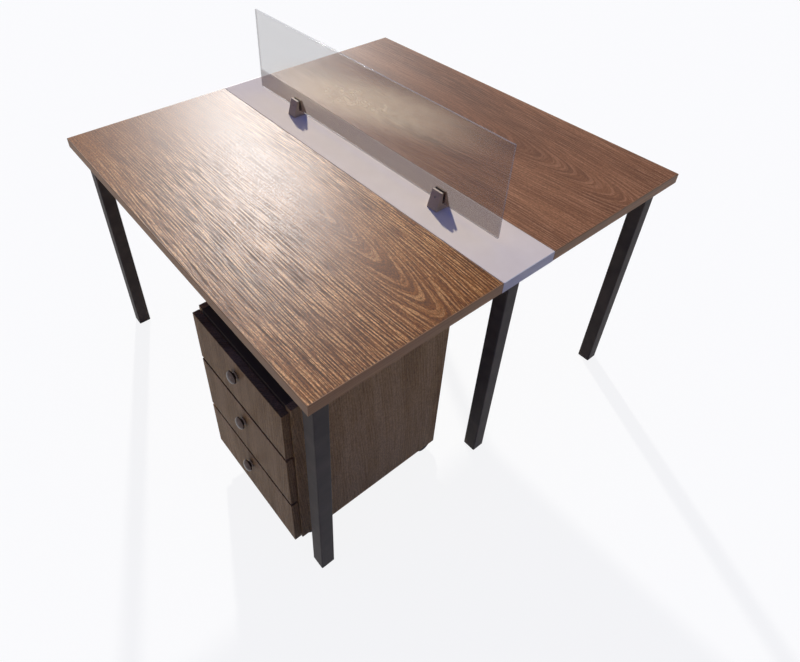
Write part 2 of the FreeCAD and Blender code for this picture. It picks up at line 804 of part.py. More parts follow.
inner_width = minus(INNER_RIGHT, INNER_LEFT)
node("cabinet_top", panel("cabinet_top", inner_width, "cabinet_depth", "panel_thickness",
                          (INNER_LEFT, CABINET_FRONT, minus(CABINET_TOP, "panel_thickness"))))

caster_lines_x = {"left": plus(LEFT, "caster_side_inset"), "right": minus(RIGHT, "caster_side_inset")}
caster_lines_y = {"front": plus(CABINET_FRONT, "caster_end_inset"),
                  "rear": minus(CABINET_REAR, "caster_end_inset")}
caster_spots = {f"{side}_{end}": (x, y)
                for side, y in caster_lines_y.items() for end, x in caster_lines_x.items()}
plate_reach = minus(half("caster_plate_width"), "caster_screw_inset")
caster_screw_spots = {
    f"{name}_{end}_{side}": (plus(x, mirrored(end_sign, plate_reach)), plus(y, mirrored(sign, plate_reach)))
    for name, (x, y) in caster_spots.items()
    for end, end_sign in SIDES_X.items() for side, sign in SIDES_Y.items()}
PLATE_UNDER = minus(CABINET_BOTTOM, "caster_plate_thickness")

bottom = panel("cabinet_bottom", inner_width, "cabinet_depth", "panel_thickness",
               (INNER_LEFT, CABINET_FRONT, CABINET_BOTTOM))
bottom_holes = []
for name, (x, y) in caster_screw_spots.items():
    spot = (x, y, PLATE_UNDER)
    bottom_holes.append(screw_hole(f"bottom_pilot_{name}", spot, "+z", PANEL_PILOT))
    cabinet_screws.append(wood_screw(f"caster_screw_{name}", spot, "+z", PANEL_SCREW))
node("cabinet_bottom", cut("cabinet_bottom", bottom, bottom_holes))

node("cabinet_back", panel("cabinet_back", inner_width, "back_thickness",
                           minus(CABINET_TOP, CABINET_BOTTOM, "panel_thickness * 2"),
                           (INNER_LEFT, minus(CABINET_REAR, "back_thickness"),
                            plus(CABINET_BOTTOM, "panel_thickness"))))


# Drawers and their runners

def channel(name, height, lip, length, spot, inward):
    """A thin steel channel along Y, its back on a face at the spot and its lips towards inward."""
    low, high = f"-({half(height)})", half(height)
    inner_low, inner_high = plus(low, "runner_wall"), minus(high, "runner_wall")
    corners = [("0", low), (lip, low), (lip, inner_low), ("runner_wall", inner_low),
               ("runner_wall", inner_high), (lip, inner_high), (lip, high), ("0", high)]
    if inward < 0:
        corners = [(f"-({x})", z) for x, z in corners]
    body = new_body(name + "_body")
    section = new_sketch(body, name + "_section", "front")
    outline(section, corners)
    feature = pad(body, section, length)
    feature.Reversed = True
    doc.recompute()
    return place(body, spot)


TRAY_LEFT = plus(INNER_LEFT, "runner_space")
TRAY_RIGHT = minus(INNER_RIGHT, "runner_space")
TRAY_FRONT = plus(FRONT_FACE, "front_thickness")
TRAY_BACK = plus(TRAY_FRONT, "tray_depth")
TRAY_INNER_LEFT, TRAY_INNER_FRONT = (plus(face, "tray_wall") for face in (TRAY_LEFT, TRAY_FRONT))
TRAY_INNER_RIGHT, TRAY_INNER_BACK = (minus(face, "tray_wall") for face in (TRAY_RIGHT, TRAY_BACK))
KNOB_HOLE_RADIUS = plus("knob_screw_radius", "knob_screw_gap")
cabinet_runners = []
for level, front_height in FRONT_HEIGHTS.items():
    low = FRONT_BOTTOMS[level]
    high = plus(low, front_height)
    tray_low, tray_high = plus(low, "tray_lift"), minus(high, "tray_drop")
    knob_z = minus(high, f"({front_height}) * knob_drop_share")

    # Front
    name = f"drawer_{level}_front"
    front_width = minus("cabinet_width", "front_side_reveal * 2")
    front = panel(name, front_width, "front_thickness", front_height,
                  (plus(LEFT, "front_side_reveal"), FRONT_FACE, low))
    round_edges(front, "front_round", lambda edge: near(edge.CenterOfMass.y, "0"))
    hole = rod(name + "_hole", KNOB_HOLE_RADIUS, plus("front_thickness", "overrun * 2"),
               (MIDDLE, minus(FRONT_FACE, "overrun"), knob_z), "+y")
    node(name, cut(name, front, [hole]))

    # Tray of five welded steel sheets: two sides, two ends between them, and a floor inside all four
    name = f"drawer_{level}_tray"
    sheets = {
        "left": ((TRAY_LEFT, TRAY_FRONT, tray_low), (TRAY_INNER_LEFT, TRAY_BACK, tray_high)),
        "right": ((TRAY_INNER_RIGHT, TRAY_FRONT, tray_low), (TRAY_RIGHT, TRAY_BACK, tray_high)),
        "front": ((TRAY_INNER_LEFT, TRAY_FRONT, tray_low), (TRAY_INNER_RIGHT, TRAY_INNER_FRONT, tray_high)),
        "back": ((TRAY_INNER_LEFT, TRAY_INNER_BACK, tray_low), (TRAY_INNER_RIGHT, TRAY_BACK, tray_high)),
        "floor": ((TRAY_INNER_LEFT, TRAY_INNER_FRONT, tray_low),
                  (TRAY_INNER_RIGHT, TRAY_INNER_BACK, plus(tray_low, "tray_wall")))}
    tray = {sheet: block(f"{name}_{sheet}", *corners) for sheet, corners in sheets.items()}
    hole = rod(name + "_hole", KNOB_HOLE_RADIUS, plus("tray_wall", "overrun * 2"),
               (MIDDLE, minus(TRAY_FRONT, "overrun"), knob_z), "+y")
    tray["front"] = cut(f"{name}_bored_front", tray["front"], [hole])
    node(name, group(name, list(tray.values())))

    # Runners: the outer channels are screwed to the cabinet, the inner ones move with the tray
    runner_z = RUNNER_LEVELS[level]
    slide_height = minus("runner_height", "runner_wall * 2", "runner_gap * 2")
    slides = []
    for end, tray_face in {"left": TRAY_LEFT, "right": TRAY_RIGHT}.items():
        cabinet_face, outward = INNER_FACES[end]
        along = "+x" if outward > 0 else "-x"
        rail_name = f"runner_{level}_{end}"
        rail = channel(rail_name, "runner_height", "runner_lip", "runner_length",
                       (cabinet_face, RUNNER_START, runner_z), -outward)
        inner_face = minus(cabinet_face, mirrored(outward, "runner_wall"))
        hole_start = minus(inner_face, mirrored(outward, "overrun"))
        through = plus("runner_wall", "overrun * 2")
        rail_holes = [screw_hole(f"{rail_name}_hole_{spot_name}", spot, along, through)
                      for spot_name, spot in runner_screw_spots(level, hole_start).items()]
        cabinet_runners.append(cut(rail_name, rail, rail_holes))
        cabinet_screws += [wood_screw(f"{rail_name}_screw_{spot_name}", spot, along, PANEL_SCREW)
                           for spot_name, spot in runner_screw_spots(level, inner_face).items()]
        slides.append(channel(f"slide_{level}_{end}", slide_height, "slide_lip", "runner_length",
                              (tray_face, RUNNER_START, runner_z), outward))
    node(f"drawer_{level}_slides", group(f"drawer_{level}_slides", slides))

    # Knob, turned about its own axis, and the screw that pulls it onto the front
    name = f"drawer_{level}_knob"
    knob = new_body(name + "_body")
    half_section = new_sketch(knob, name + "_half_section", "front")
    outline(half_section, [
        ("0", "0"), ("knob_foot_radius", "0"), ("knob_neck_radius", "knob_foot_height"),
        ("knob_neck_radius", "knob_neck_height"), ("knob_radius", "knob_rim_height"),
        ("knob_radius", plus("knob_rim_height", "knob_rim_thickness")),
        ("knob_crown_radius", "knob_projection"), ("0", "knob_projection")])
    revolve(knob, half_section, "V_Axis")
    round_edges(knob, "knob_round", lambda edge: (
        is_level(edge) and edge.Length > number("knob_radius")
        and edge.CenterOfMass.z > number("knob_rim_height") - TOUCH))
    place(knob, (MIDDLE, FRONT_FACE, knob_z), ALONG["-y"])
    bore = rod(name + "_bore", KNOB_HOLE_RADIUS, plus("knob_screw_bite", "knob_screw_gap", "overrun"),
               (MIDDLE, plus(FRONT_FACE, "overrun"), knob_z), "-y")
    shank_start = plus(TRAY_FRONT, "tray_wall")
    screw_head = rod(name + "_screw_head", "screw_head_radius", "screw_head_height",
                     (MIDDLE, plus(shank_start, "screw_head_height"), knob_z), "-y")
    shank = rod(name + "_screw_shank", "knob_screw_radius",
                plus("tray_wall", "front_thickness", "knob_screw_bite"), (MIDDLE, shank_start, knob_z), "-y")
    knob_screw = fuse(name + "_screw", [screw_head, shank])
    node(name, group(name, [cut(name + "_head", knob, [bore]), knob_screw]))

node("cabinet_runners", group("cabinet_runners", cabinet_runners))
node("cabinet_screws", group("cabinet_screws", cabinet_screws))

# Twin-wheel casters: a screwed plate with a kingpin, a hooded housing that swivels, two wheels on an axle

plates = []
for name, (x, y) in caster_spots.items():
    reach = half("caster_plate_width")
    plate = block(f"caster_{name}_plate_sheet", (minus(x, reach), minus(y, reach), PLATE_UNDER),
                  (plus(x, reach), plus(y, reach), CABINET_BOTTOM))
    kingpin = rod(f"caster_{name}_kingpin", "kingpin_radius", "kingpin_length", (x, y, PLATE_UNDER), "-z")
    holes = [screw_hole(f"plate_hole_{spot_name}", (screw_x, screw_y, minus(PLATE_UNDER, "overrun")), "+z",
                        plus("caster_plate_thickness", "overrun * 2"))
             for spot_name, (screw_x, screw_y) in caster_screw_spots.items() if spot_name.startswith(name)]
    pinned_plate = fuse(f"caster_{name}_plate_and_pin", [plate, kingpin])
    plates.append(cut(f"caster_{name}_plate", pinned_plate, holes))
node("caster_plates", group("caster_plates", plates))

WHEEL_REACH = plus(half("web_width"), "wheel_side_gap", "wheel_width")
HOOD_INSIDE = plus("wheel_radius", "hood_gap")
HOOD_OUTSIDE = plus(HOOD_INSIDE, "hood_thickness")
HEAD_TOP = minus(PLATE_UNDER, "caster_head_gap")


def caster_housing(name, x, y):
    """A hood over both wheels, the web between them and the post that turns on the kingpin, all bored."""
    axle_y, axle_z = plus(y, "caster_trail"), "wheel_radius"
    start = (minus(x, WHEEL_REACH), axle_y, axle_z)
    width = f"({WHEEL_REACH}) * 2"
    outer = rod(name + "_hood_outer", HOOD_OUTSIDE, width, start, "+x")
    inner = rod(name + "_hood_inner", HOOD_INSIDE, plus(width, "overrun * 2"),
                (minus(x, WHEEL_REACH, "overrun"), axle_y, axle_z), "+x")
    hood = cut(name + "_hood_ring", outer, [inner])
    half_web = half("web_width")
    web = rod(name + "_web_disc", plus(HOOD_INSIDE, half("hood_thickness")), "web_width",
              (minus(x, half_web), axle_y, axle_z), "+x")
    post = block(name + "_post", (minus(x, half_web), minus(y, "post_reach"), axle_z),
                 (plus(x, half_web), plus(y, "post_reach"), HEAD_TOP))
    cap_height = minus(HEAD_TOP, axle_z, HOOD_INSIDE)
    cap = rod(name + "_cap", "post_reach", cap_height, (x, y, HEAD_TOP), "-z")
    whole = fuse(name + "_whole", [hood, web, post, cap])
    past_x, past_y = plus(WHEEL_REACH, "overrun"), plus(HOOD_OUTSIDE, "overrun")
    below = block(name + "_below", (minus(x, past_x), minus(axle_y, past_y), "-(overrun)"),
                  (plus(x, past_x), plus(axle_y, past_y), minus(axle_z, "hood_skirt")))
    axle_bore = rod(name + "_axle_bore", plus("axle_radius", "running_gap"),
                    plus("web_width", "overrun * 2"), (minus(x, half_web, "overrun"), axle_y, axle_z), "+x")
    pin_bore = rod(name + "_pin_bore", plus("kingpin_radius", "running_gap"),
                   plus("kingpin_length", "overrun"), (x, y, plus(PLATE_UNDER, "overrun")), "-z")
    return cut(name, whole, [below, pin_bore, axle_bore])


def wheel_pair(name, x, y):
    """Two dished wheels and their axle as one turned piece, drawn as a half section along X."""
    body = new_body(name + "_body")
    section = new_sketch(body, name + "_half_section", "front")
    inner, outer = plus(half("web_width"), "wheel_side_gap"), WHEEL_REACH
    dish = minus(outer, "wheel_dish")
    rim = minus("wheel_radius", "wheel_rim")
    right = [(outer, "0"), (outer, "hub_radius"), (dish, "hub_radius"), (dish, rim), (outer, rim),
             (outer, "wheel_radius"), (inner, "wheel_radius"), (inner, "axle_radius")]
    left = [(f"-({reach})", radius) for reach, radius in reversed(right)]
    outline(section, right + left)
    revolve(body, section, "H_Axis")
    round_edges(body, "wheel_round",
                lambda edge: span(edge, "x") < TOUCH and near(edge.BoundBox.ZMax, "wheel_radius"))
    return place(body, (x, plus(y, "caster_trail"), "wheel_radius"))


for name, (x, y) in caster_spots.items():
    node(f"caster_{name}_housing", caster_housing(f"caster_{name}_housing", x, y))
    node(f"caster_{name}_wheels", wheel_pair(f"caster_{name}_wheels", x, y))

doc.recompute()

# Checks, then one file for each sub-part

for item in doc.Objects:
    if {"Invalid", "Error"} & set(item.State):
        raise RuntimeError(f"{item.Name} is {item.State}")
for item in nodes:
    if item.Shape.isNull() or not item.Shape.isValid() or not item.Shape.Solids:
        raise RuntimeError(f"{item.Label} has no valid shape")

os.makedirs("parts", exist_ok=True)
for item in nodes:
    item.Shape.exportStep(os.path.join("parts", item.Label + ".step"))
print(len(nodes), "sub-parts,", sum(len(item.Shape.Solids) for item in nodes), "solids")
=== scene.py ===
import logging
import math
from dataclasses import dataclass
from enum import Enum
from functools import cached_property
from typing import Any, Callable, Iterable, Union

import bpy
from mathutils import Matrix, Vector


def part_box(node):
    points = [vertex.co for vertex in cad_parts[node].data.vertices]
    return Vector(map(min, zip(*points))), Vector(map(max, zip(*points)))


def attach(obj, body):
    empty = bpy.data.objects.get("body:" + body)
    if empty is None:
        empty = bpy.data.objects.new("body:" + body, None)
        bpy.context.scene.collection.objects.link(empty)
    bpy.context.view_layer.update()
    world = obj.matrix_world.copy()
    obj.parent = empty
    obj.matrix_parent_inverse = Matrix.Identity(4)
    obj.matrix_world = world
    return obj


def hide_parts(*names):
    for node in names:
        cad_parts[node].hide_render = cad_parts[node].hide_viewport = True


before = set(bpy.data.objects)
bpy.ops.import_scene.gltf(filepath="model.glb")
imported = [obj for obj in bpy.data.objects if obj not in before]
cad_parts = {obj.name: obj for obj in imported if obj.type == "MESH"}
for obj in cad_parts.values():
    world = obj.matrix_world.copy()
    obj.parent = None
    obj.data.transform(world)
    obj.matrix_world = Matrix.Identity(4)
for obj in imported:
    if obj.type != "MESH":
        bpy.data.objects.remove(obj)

log = logging.getLogger("conference_table")

Colour = tuple[float, float, float]
Point = tuple[float, float, float]
Ring = tuple[float, float]
Span = tuple[float, float]
Piece = bpy.types.Object
Socket = bpy.types.NodeSocket
Node = bpy.types.Node
Material = bpy.types.Material
Owner = Union[Material, bpy.types.World]
Value = Union["Signal", Socket, float, int, tuple]
Test = Callable[[list[Vector]], bool]

MM = 0.001
TOUCHING = 0.01 * MM


# Shader tools

class Signal:
    """A number that varies over a surface, made by maths on the sockets of one board."""

    def __init__(self, board: "Board", socket: Socket) -> None:
        """Wrap a socket of the board."""
        self.board = board
        self.socket = socket

    def __add__(self, other: Value) -> "Signal":
        """Sum."""
        return self.board.maths("ADD", self, other)

    __radd__ = __add__

    def __sub__(self, other: Value) -> "Signal":
        """Difference."""
        return self.board.maths("SUBTRACT", self, other)

    def __rsub__(self, other: Value) -> "Signal":
        """Difference, from the left."""
        return self.board.maths("SUBTRACT", other, self)

    def __mul__(self, other: Value) -> "Signal":
        """Product."""
        return self.board.maths("MULTIPLY", self, other)

    __rmul__ = __mul__

    def __truediv__(self, other: Value) -> "Signal":
        """Quotient."""
        return self.board.maths("DIVIDE", self, other)

    def __rtruediv__(self, other: Value) -> "Signal":
        """Quotient, from the left."""
        return self.board.maths("DIVIDE", other, self)

    def __abs__(self) -> "Signal":
        """Size without its sign."""
        return self.board.maths("ABSOLUTE", self)

    def wave(self) -> "Signal":
        """A wave from 0 to 1 and back for each whole step of this signal."""
        return self.board.maths("SINE", self * (2 * math.pi)) * 0.5 + 0.5

    def between(self, low: float, high: float) -> "Signal":
        """0 below low, 1 above high, and a smooth rise between them."""
        node = self.board.add("MapRange", {"Value": self, "From Min": low, "From Max": high},
                              interpolation_type="SMOOTHSTEP")
        return Signal(self.board, node.outputs["Result"])

    def at_least(self, floor: float) -> "Signal":
        """This signal of 0 to 1, squeezed so that it goes from floor to 1."""
        return self * (1.0 - floor) + floor

    def swing(self, reach: float) -> "Signal":
        """This signal of 0 to 1, as a swing about 0 that is reach wide."""
        return (self - 0.5) * reach


@dataclass(frozen=True)
class Noise:
    """A smooth noise.

    Its values are the waves per unit along each axis, the octaves, the share that each finer octave
    keeps, and the part of its range that is stretched to the whole, if any is.
    """

    stretch: Point
    detail: float = 2.0
    roughness: float = 0.5
    span: Span | None = None


class Board:
    """The nodes of one material or of the sky."""

    def __init__(self, owner: Owner) -> None:
        """Start with an empty node tree.

        Args:
            owner: The material or world that the nodes belong to.
        """
        self.owner = owner
        owner.use_nodes = True
        self.tree = owner.node_tree
        self.tree.nodes.clear()

    @classmethod
    def named(cls, name: str) -> "Board":
        """The board of a new material."""
        return cls(bpy.data.materials.new(name))

    def add(self, kind: str, sockets: dict[str | int, Value] | None = None, **settings: Any) -> Node:
        """Add one node.

        Args:
            kind: The node's type, without its ShaderNode start.
            sockets: A value or a link for each input, by name or place.
            settings: Properties, set first. One called stops holds a colour ramp's stops.

        Returns:
            The new node.
        """
        node = self.tree.nodes.new("ShaderNode" + kind)
        for name, value in settings.items():
            if name == "stops":
                self.set_stops(node.color_ramp, value)
            else:
                setattr(node, name, value)
        for key, value in (sockets or {}).items():
            self.plug(node.inputs[key], value)
        return node

    @staticmethod
    def set_stops(ramp: bpy.types.ColorRamp, stops: Iterable[tuple[float, Colour]]) -> None:
        """Give a colour ramp its stops.

        Args:
            ramp: The ramp, which has two stops already.
            stops: Position and colour of each stop.
        """
        for index, (position, colour) in enumerate(stops):
            stop = ramp.elements[index] if index < 2 else ramp.elements.new(position)
            stop.position = position
            stop.color = (*colour, 1.0)

    def plug(self, socket: Socket, value: Value) -> None:
        """Link a signal or socket to an input, or set the input's own value.

        Args:
            socket: The input.
            value: What it takes.
        """
        if isinstance(value, Signal):
            value = value.socket
        if isinstance(value, Socket):
            self.tree.links.new(value, socket)
        elif socket.type == "RGBA" and len(value) == 3:
            socket.default_value = (*value, 1.0)
        else:
            socket.default_value = value

    def maths(self, operation: str, *values: Value) -> Signal:
        """One step of maths on signals and numbers."""
        node = self.add("Math", dict(enumerate(values)), operation=operation)
        return Signal(self, node.outputs[0])

    def place(self, turn: Point = (0.0, 0.0, 0.0), shift: Point = (0.0, 0.0, 0.0)) -> Socket:
        """The surface point in the object's own frame, turned and shifted."""
        point = self.add("TexCoord").outputs["Object"]
        return self.add("Mapping", {"Vector": point, "Rotation": turn, "Location": shift}).outputs[0]

    def parts(self, vector: Socket) -> list[Signal]:
        """The three parts of a vector."""
        return [Signal(self, socket) for socket in self.add("SeparateXYZ", {0: vector}).outputs]

    def noise(self, vector: Socket, noise: Noise) -> Signal:
        """Lay a smooth noise over the surface.

        Args:
            vector: Where on the surface, in metres or in the steps of a pattern.
            noise: Its size and fineness.

        Returns:
            The noise, from 0 to 1.
        """
        scaled = self.add("VectorMath", {0: vector, 1: noise.stretch}, operation="MULTIPLY").outputs[0]
        node = self.add("TexNoise", {"Vector": scaled, "Scale": 1.0, "Detail": noise.detail,
                                     "Roughness": noise.roughness})
        laid = Signal(self, node.outputs[0])
        return laid.between(*noise.span) if noise.span else laid

    def mix(self, factor: Value, first: Value, second: Value) -> Socket:
        """A colour between two others."""
        return self.add("Mix", {0: factor, 6: first, 7: second}, data_type="RGBA").outputs[2]

    def shade(self, colour: Socket, share: float) -> Socket:
        """A varying colour made darker or paler."""
        return self.add("VectorMath", {0: colour, "Scale": share}, operation="SCALE").outputs[0]

    def bump(self, height: Signal, distance: float) -> Socket:
        """A normal that follows a height of 0 to 1 times distance, in metres."""
        return self.add("Bump", {"Height": height, "Distance": distance, "Strength": 1.0}).outputs[0]

    def blend(self, factor: Value, first: Node, second: Node) -> Node:
        """Two shaders mixed."""
        return self.add("MixShader", {0: factor, 1: first.outputs[0], 2: second.outputs[0]})

    def surface(self, **sockets: Value) -> Material:
        """Close the material with one principled surface.

        Args:
            sockets: Its inputs, with underscores for the spaces in their names.

        Returns:
            The finished material.
        """
        named = {name.replace("_", " ").title().replace("Ior", "IOR"): value
                 for name, value in sockets.items()}
        return self.close(self.add("BsdfPrincipled", named))

    def close(self, shader: Node, output: str = "OutputMaterial") -> Owner:
        """Send a shader to the output, and give back the finished material or world."""
        self.add(output, {"Surface": shader.outputs[0]})
        return self.owner


# Finishes

class Grain(Enum):
    """The way the grain runs, as the turn that lays it along the pattern's X axis."""

    ALONG_X = (0.0, 0.0, 0.0)
    UPRIGHT = (0.0, math.pi / 2, 0.0)


@dataclass(frozen=True)
class WoodLaminate:
    """Brown wood-grain laminate: growth rings cut lengthwise, pressed as fine ridges.

    Lengths are in metres. The lines lie in a flow of flow_scale steps per metre along the grain
    and one step per ring across it, which keeps them long and narrow.
    """

    name: str
    grain: Grain
    dark: Colour
    middle: Colour
    pale: Colour
    fibre: Colour
    shift: Point = (0.0, 0.0, 0.0)
    heart: float = 0.0
    arch_start: float = 0.0
    arch_taper: float = 0.14
    ridge_spacing: float = 8 * MM
    ridge_height: float = 0.14 * MM
    contrast: float = 0.9
    fleck_contrast: float = 1.0
    calm_end: Span | None = None
    roughness: float = 0.36
    specular: float = 0.046

    flow_scale = 7.0
    heart_width = 3 * MM
    calm_rings = 18.0
    faintest = 0.3
    patch_left = 0.75
    sway_reach = 0.1
    waver_reach = 2.2
    wave_share = 0.4
    groove_span = (0.24, 0.48)
    groove_gaps = (0.3, 0.5)
    groove_left = 0.65
    crest_span = (0.52, 0.76)
    crest_gaps = (0.35, 0.6)
    crest_left = 0.5
    groove_shade = 0.42
    groove_roughness = 0.13
    fleck_roughness = 0.1
    fleck_shades = (0.5, 1.5)
    tone_span = (0.36, 0.64)

    sway = Noise((0.9, 3.4, 3.4), 1.0)
    waver = Noise((1.0, 0.5, 1.0), 3.0, 0.6)
    streaks = Noise((1.2, 2.8, 1.0), 2.0, 0.6, (0.34, 0.66))
    gaps = Noise((1.7, 1.3, 1.0))
    bands = Noise((0.12, 0.16, 1.0))
    tones = Noise((1.6, 9.0, 9.0), 3.0, 0.55)
    flecks = Noise((140.0, 280.0, 280.0), 2.0, 0.8, (0.32, 0.68))
    patches = Noise((4.0, 7.0, 7.0), 1.0, 0.5, (0.3, 0.6))

    def build(self) -> Material:
        """Mix wavering rings with loose streaks, and lay them and the flecks over the ground.

        Returns:
            The material.
        """
        board = Board.named(self.name)
        point = board.place(self.grain.value, self.shift)
        rings = self.rings(board, point)
        along = board.parts(point)[0] * self.flow_scale
        flow = board.add("CombineXYZ", {0: along, 1: rings}).outputs[0]
        streak = board.noise(flow, self.streaks)
        wave = (rings + board.noise(flow, self.waver) * self.waver_reach).wave()
        line = wave * self.wave_share + streak * (1.0 - self.wave_share)
        gap = board.noise(flow, self.gaps)
        strength = self.strength(board) * rings.between(0.0, self.calm_rings).at_least(self.faintest)
        low, high = 1.0 - line.between(*self.groove_span), line.between(*self.crest_span)
        groove = low * gap.between(*self.groove_gaps).at_least(self.groove_left) * strength
        crest = high * gap.between(*self.crest_gaps).at_least(self.crest_left) * strength
        fleck = board.noise(point, self.flecks)
        return board.surface(
            base_color=self.colour(board, self.ground(board, point, flow), groove, crest, fleck),
            roughness=self.roughness + groove * self.groove_roughness + fleck.swing(self.fleck_roughness),
            specular_ior_level=self.specular,
            normal=board.bump(line * 0.5 * strength + fleck * 0.5, self.ridge_height))

    def rings(self, board: Board, point: Socket) -> Signal:
        """Count the rings from the heart: straight lines far from it, nested arches near it.

        Args:
            board: The material's board.
            point: The surface point, in the grain's frame.

        Returns:
            The number of rings.
        """
        along, side, face = board.parts(point)
        offset = side + face - self.heart + board.noise(point, self.sway).swing(self.sway_reach)
        depth = board.maths("MAXIMUM", (along - self.arch_start) * self.arch_taper, self.heart_width)
        reach = board.maths("SQRT", offset * offset + depth * depth)
        return reach / self.ridge_spacing

    def strength(self, board: Board) -> Signal:
        """Say how plainly the lines show: in patches, and faintly over the calm end if there is one.

        Args:
            board: The material's board.

        Returns:
            The strength, up to 1.
        """
        place = board.place()
        patch = board.noise(place, self.patches).at_least(self.patch_left)
        if self.calm_end is None:
            return patch
        return patch * board.parts(place)[0].between(*self.calm_end).at_least(self.faintest)

    def ground(self, board: Board, point: Socket, flow: Socket) -> Socket:
        """Make the soft brown under the lines.

        Args:
            board: The material's board.
            point: The surface point, for the tones.
            flow: The point in the flow of the lines, for the broad bands.

        Returns:
            The colour.
        """
        tone = board.noise(point, self.tones) * 0.5 + board.noise(flow, self.bands) * 0.5
        stops = zip((*self.tone_span, 0.5), (self.dark, self.pale, self.middle))
        return board.add("ValToRGB", {0: tone}, stops=stops).outputs[0]

    def colour(self, board: Board, ground: Socket, groove: Signal, crest: Signal, fleck: Signal) -> Socket:
        """Draw the lines and flecks on the ground.

        Args:
            board: The material's board.
            ground: The colour under the lines.
            groove: Where the dark lines are, from 0 to 1.
            crest: Where the pale lines are, from 0 to 1.
            fleck: The fine flecks, from 0 to 1.

        Returns:
            The colour.
        """
        groove_colour = tuple(part * self.groove_shade for part in self.dark)
        lined = board.mix(groove * self.contrast, ground, groove_colour)
        lit = board.mix(crest * self.contrast, lined, self.fibre)
        darker, paler = (board.shade(lit, share) for share in self.fleck_shades)
        return board.mix(fleck.swing(self.fleck_contrast) + 0.5, darker, paler)


@dataclass(frozen=True)
class PaintedSurface:
    """A painted, moulded or coated surface with a fine pebble and faint uneven tone."""

    name: str
    base: Colour
    worn: Colour
    grain_size: float = 0.7 * MM
    grain_height: float = 0.03 * MM
    roughness: float = 0.45
    specular: float = 0.2

    clouds = Noise((14.0, 14.0, 14.0), 4.0, 0.6)
    smears = Noise((3.0, 3.0, 22.0), 3.0)
    cloud_share = 0.6
    tone_span = (0.35, 0.7)
    cloud_roughness = 0.16
    pebble_roughness = 0.06

    def build(self) -> Material:
        """Mottle the paint and pebble it.

        Returns:
            The material.
        """
        board = Board.named(self.name)
        point = board.place()
        pebble = board.noise(point, Noise((1.0 / self.grain_size,) * 3, 1.0))
        cloud = board.noise(point, self.clouds)
        smear = board.noise(point, self.smears)
        tone = cloud * self.cloud_share + smear * (1.0 - self.cloud_share)
        uneven = cloud.swing(self.cloud_roughness) + pebble.swing(self.pebble_roughness)
        return board.surface(
            base_color=board.mix(tone.between(*self.tone_span), self.base, self.worn),
            roughness=self.roughness + uneven,
            specular_ior_level=self.specular,
            normal=board.bump(pebble, self.grain_height))


@dataclass(frozen=True)
class BrushedMetal:
    """Bare or plated metal with fine lines along one axis."""

    name: str
    base: Colour
    shade: Colour
    lines: Point = (40.0, 40.0, 2200.0)
    line_height: float = 0.006 * MM
    roughness: float = 0.32

    clouds = Noise((30.0, 30.0, 30.0), 3.0)
    cloud_span = (0.3, 0.72)
    cloud_roughness = 0.12
    line_roughness = 0.18

    def build(self) -> Material:
        """Brush the metal and cloud it.

        Returns:
            The material.
        """
        board = Board.named(self.name)
        point = board.place()
        brushed = board.noise(point, Noise(self.lines, 2.0, 0.6))
        cloud = board.noise(point, self.clouds)
        return board.surface(
            base_color=board.mix(cloud.between(*self.cloud_span), self.base, self.shade),
            roughness=self.roughness + brushed.swing(self.line_roughness) + cloud.swing(self.cloud_roughness),
            metallic=1.0,
            normal=board.bump(brushed, self.line_height))


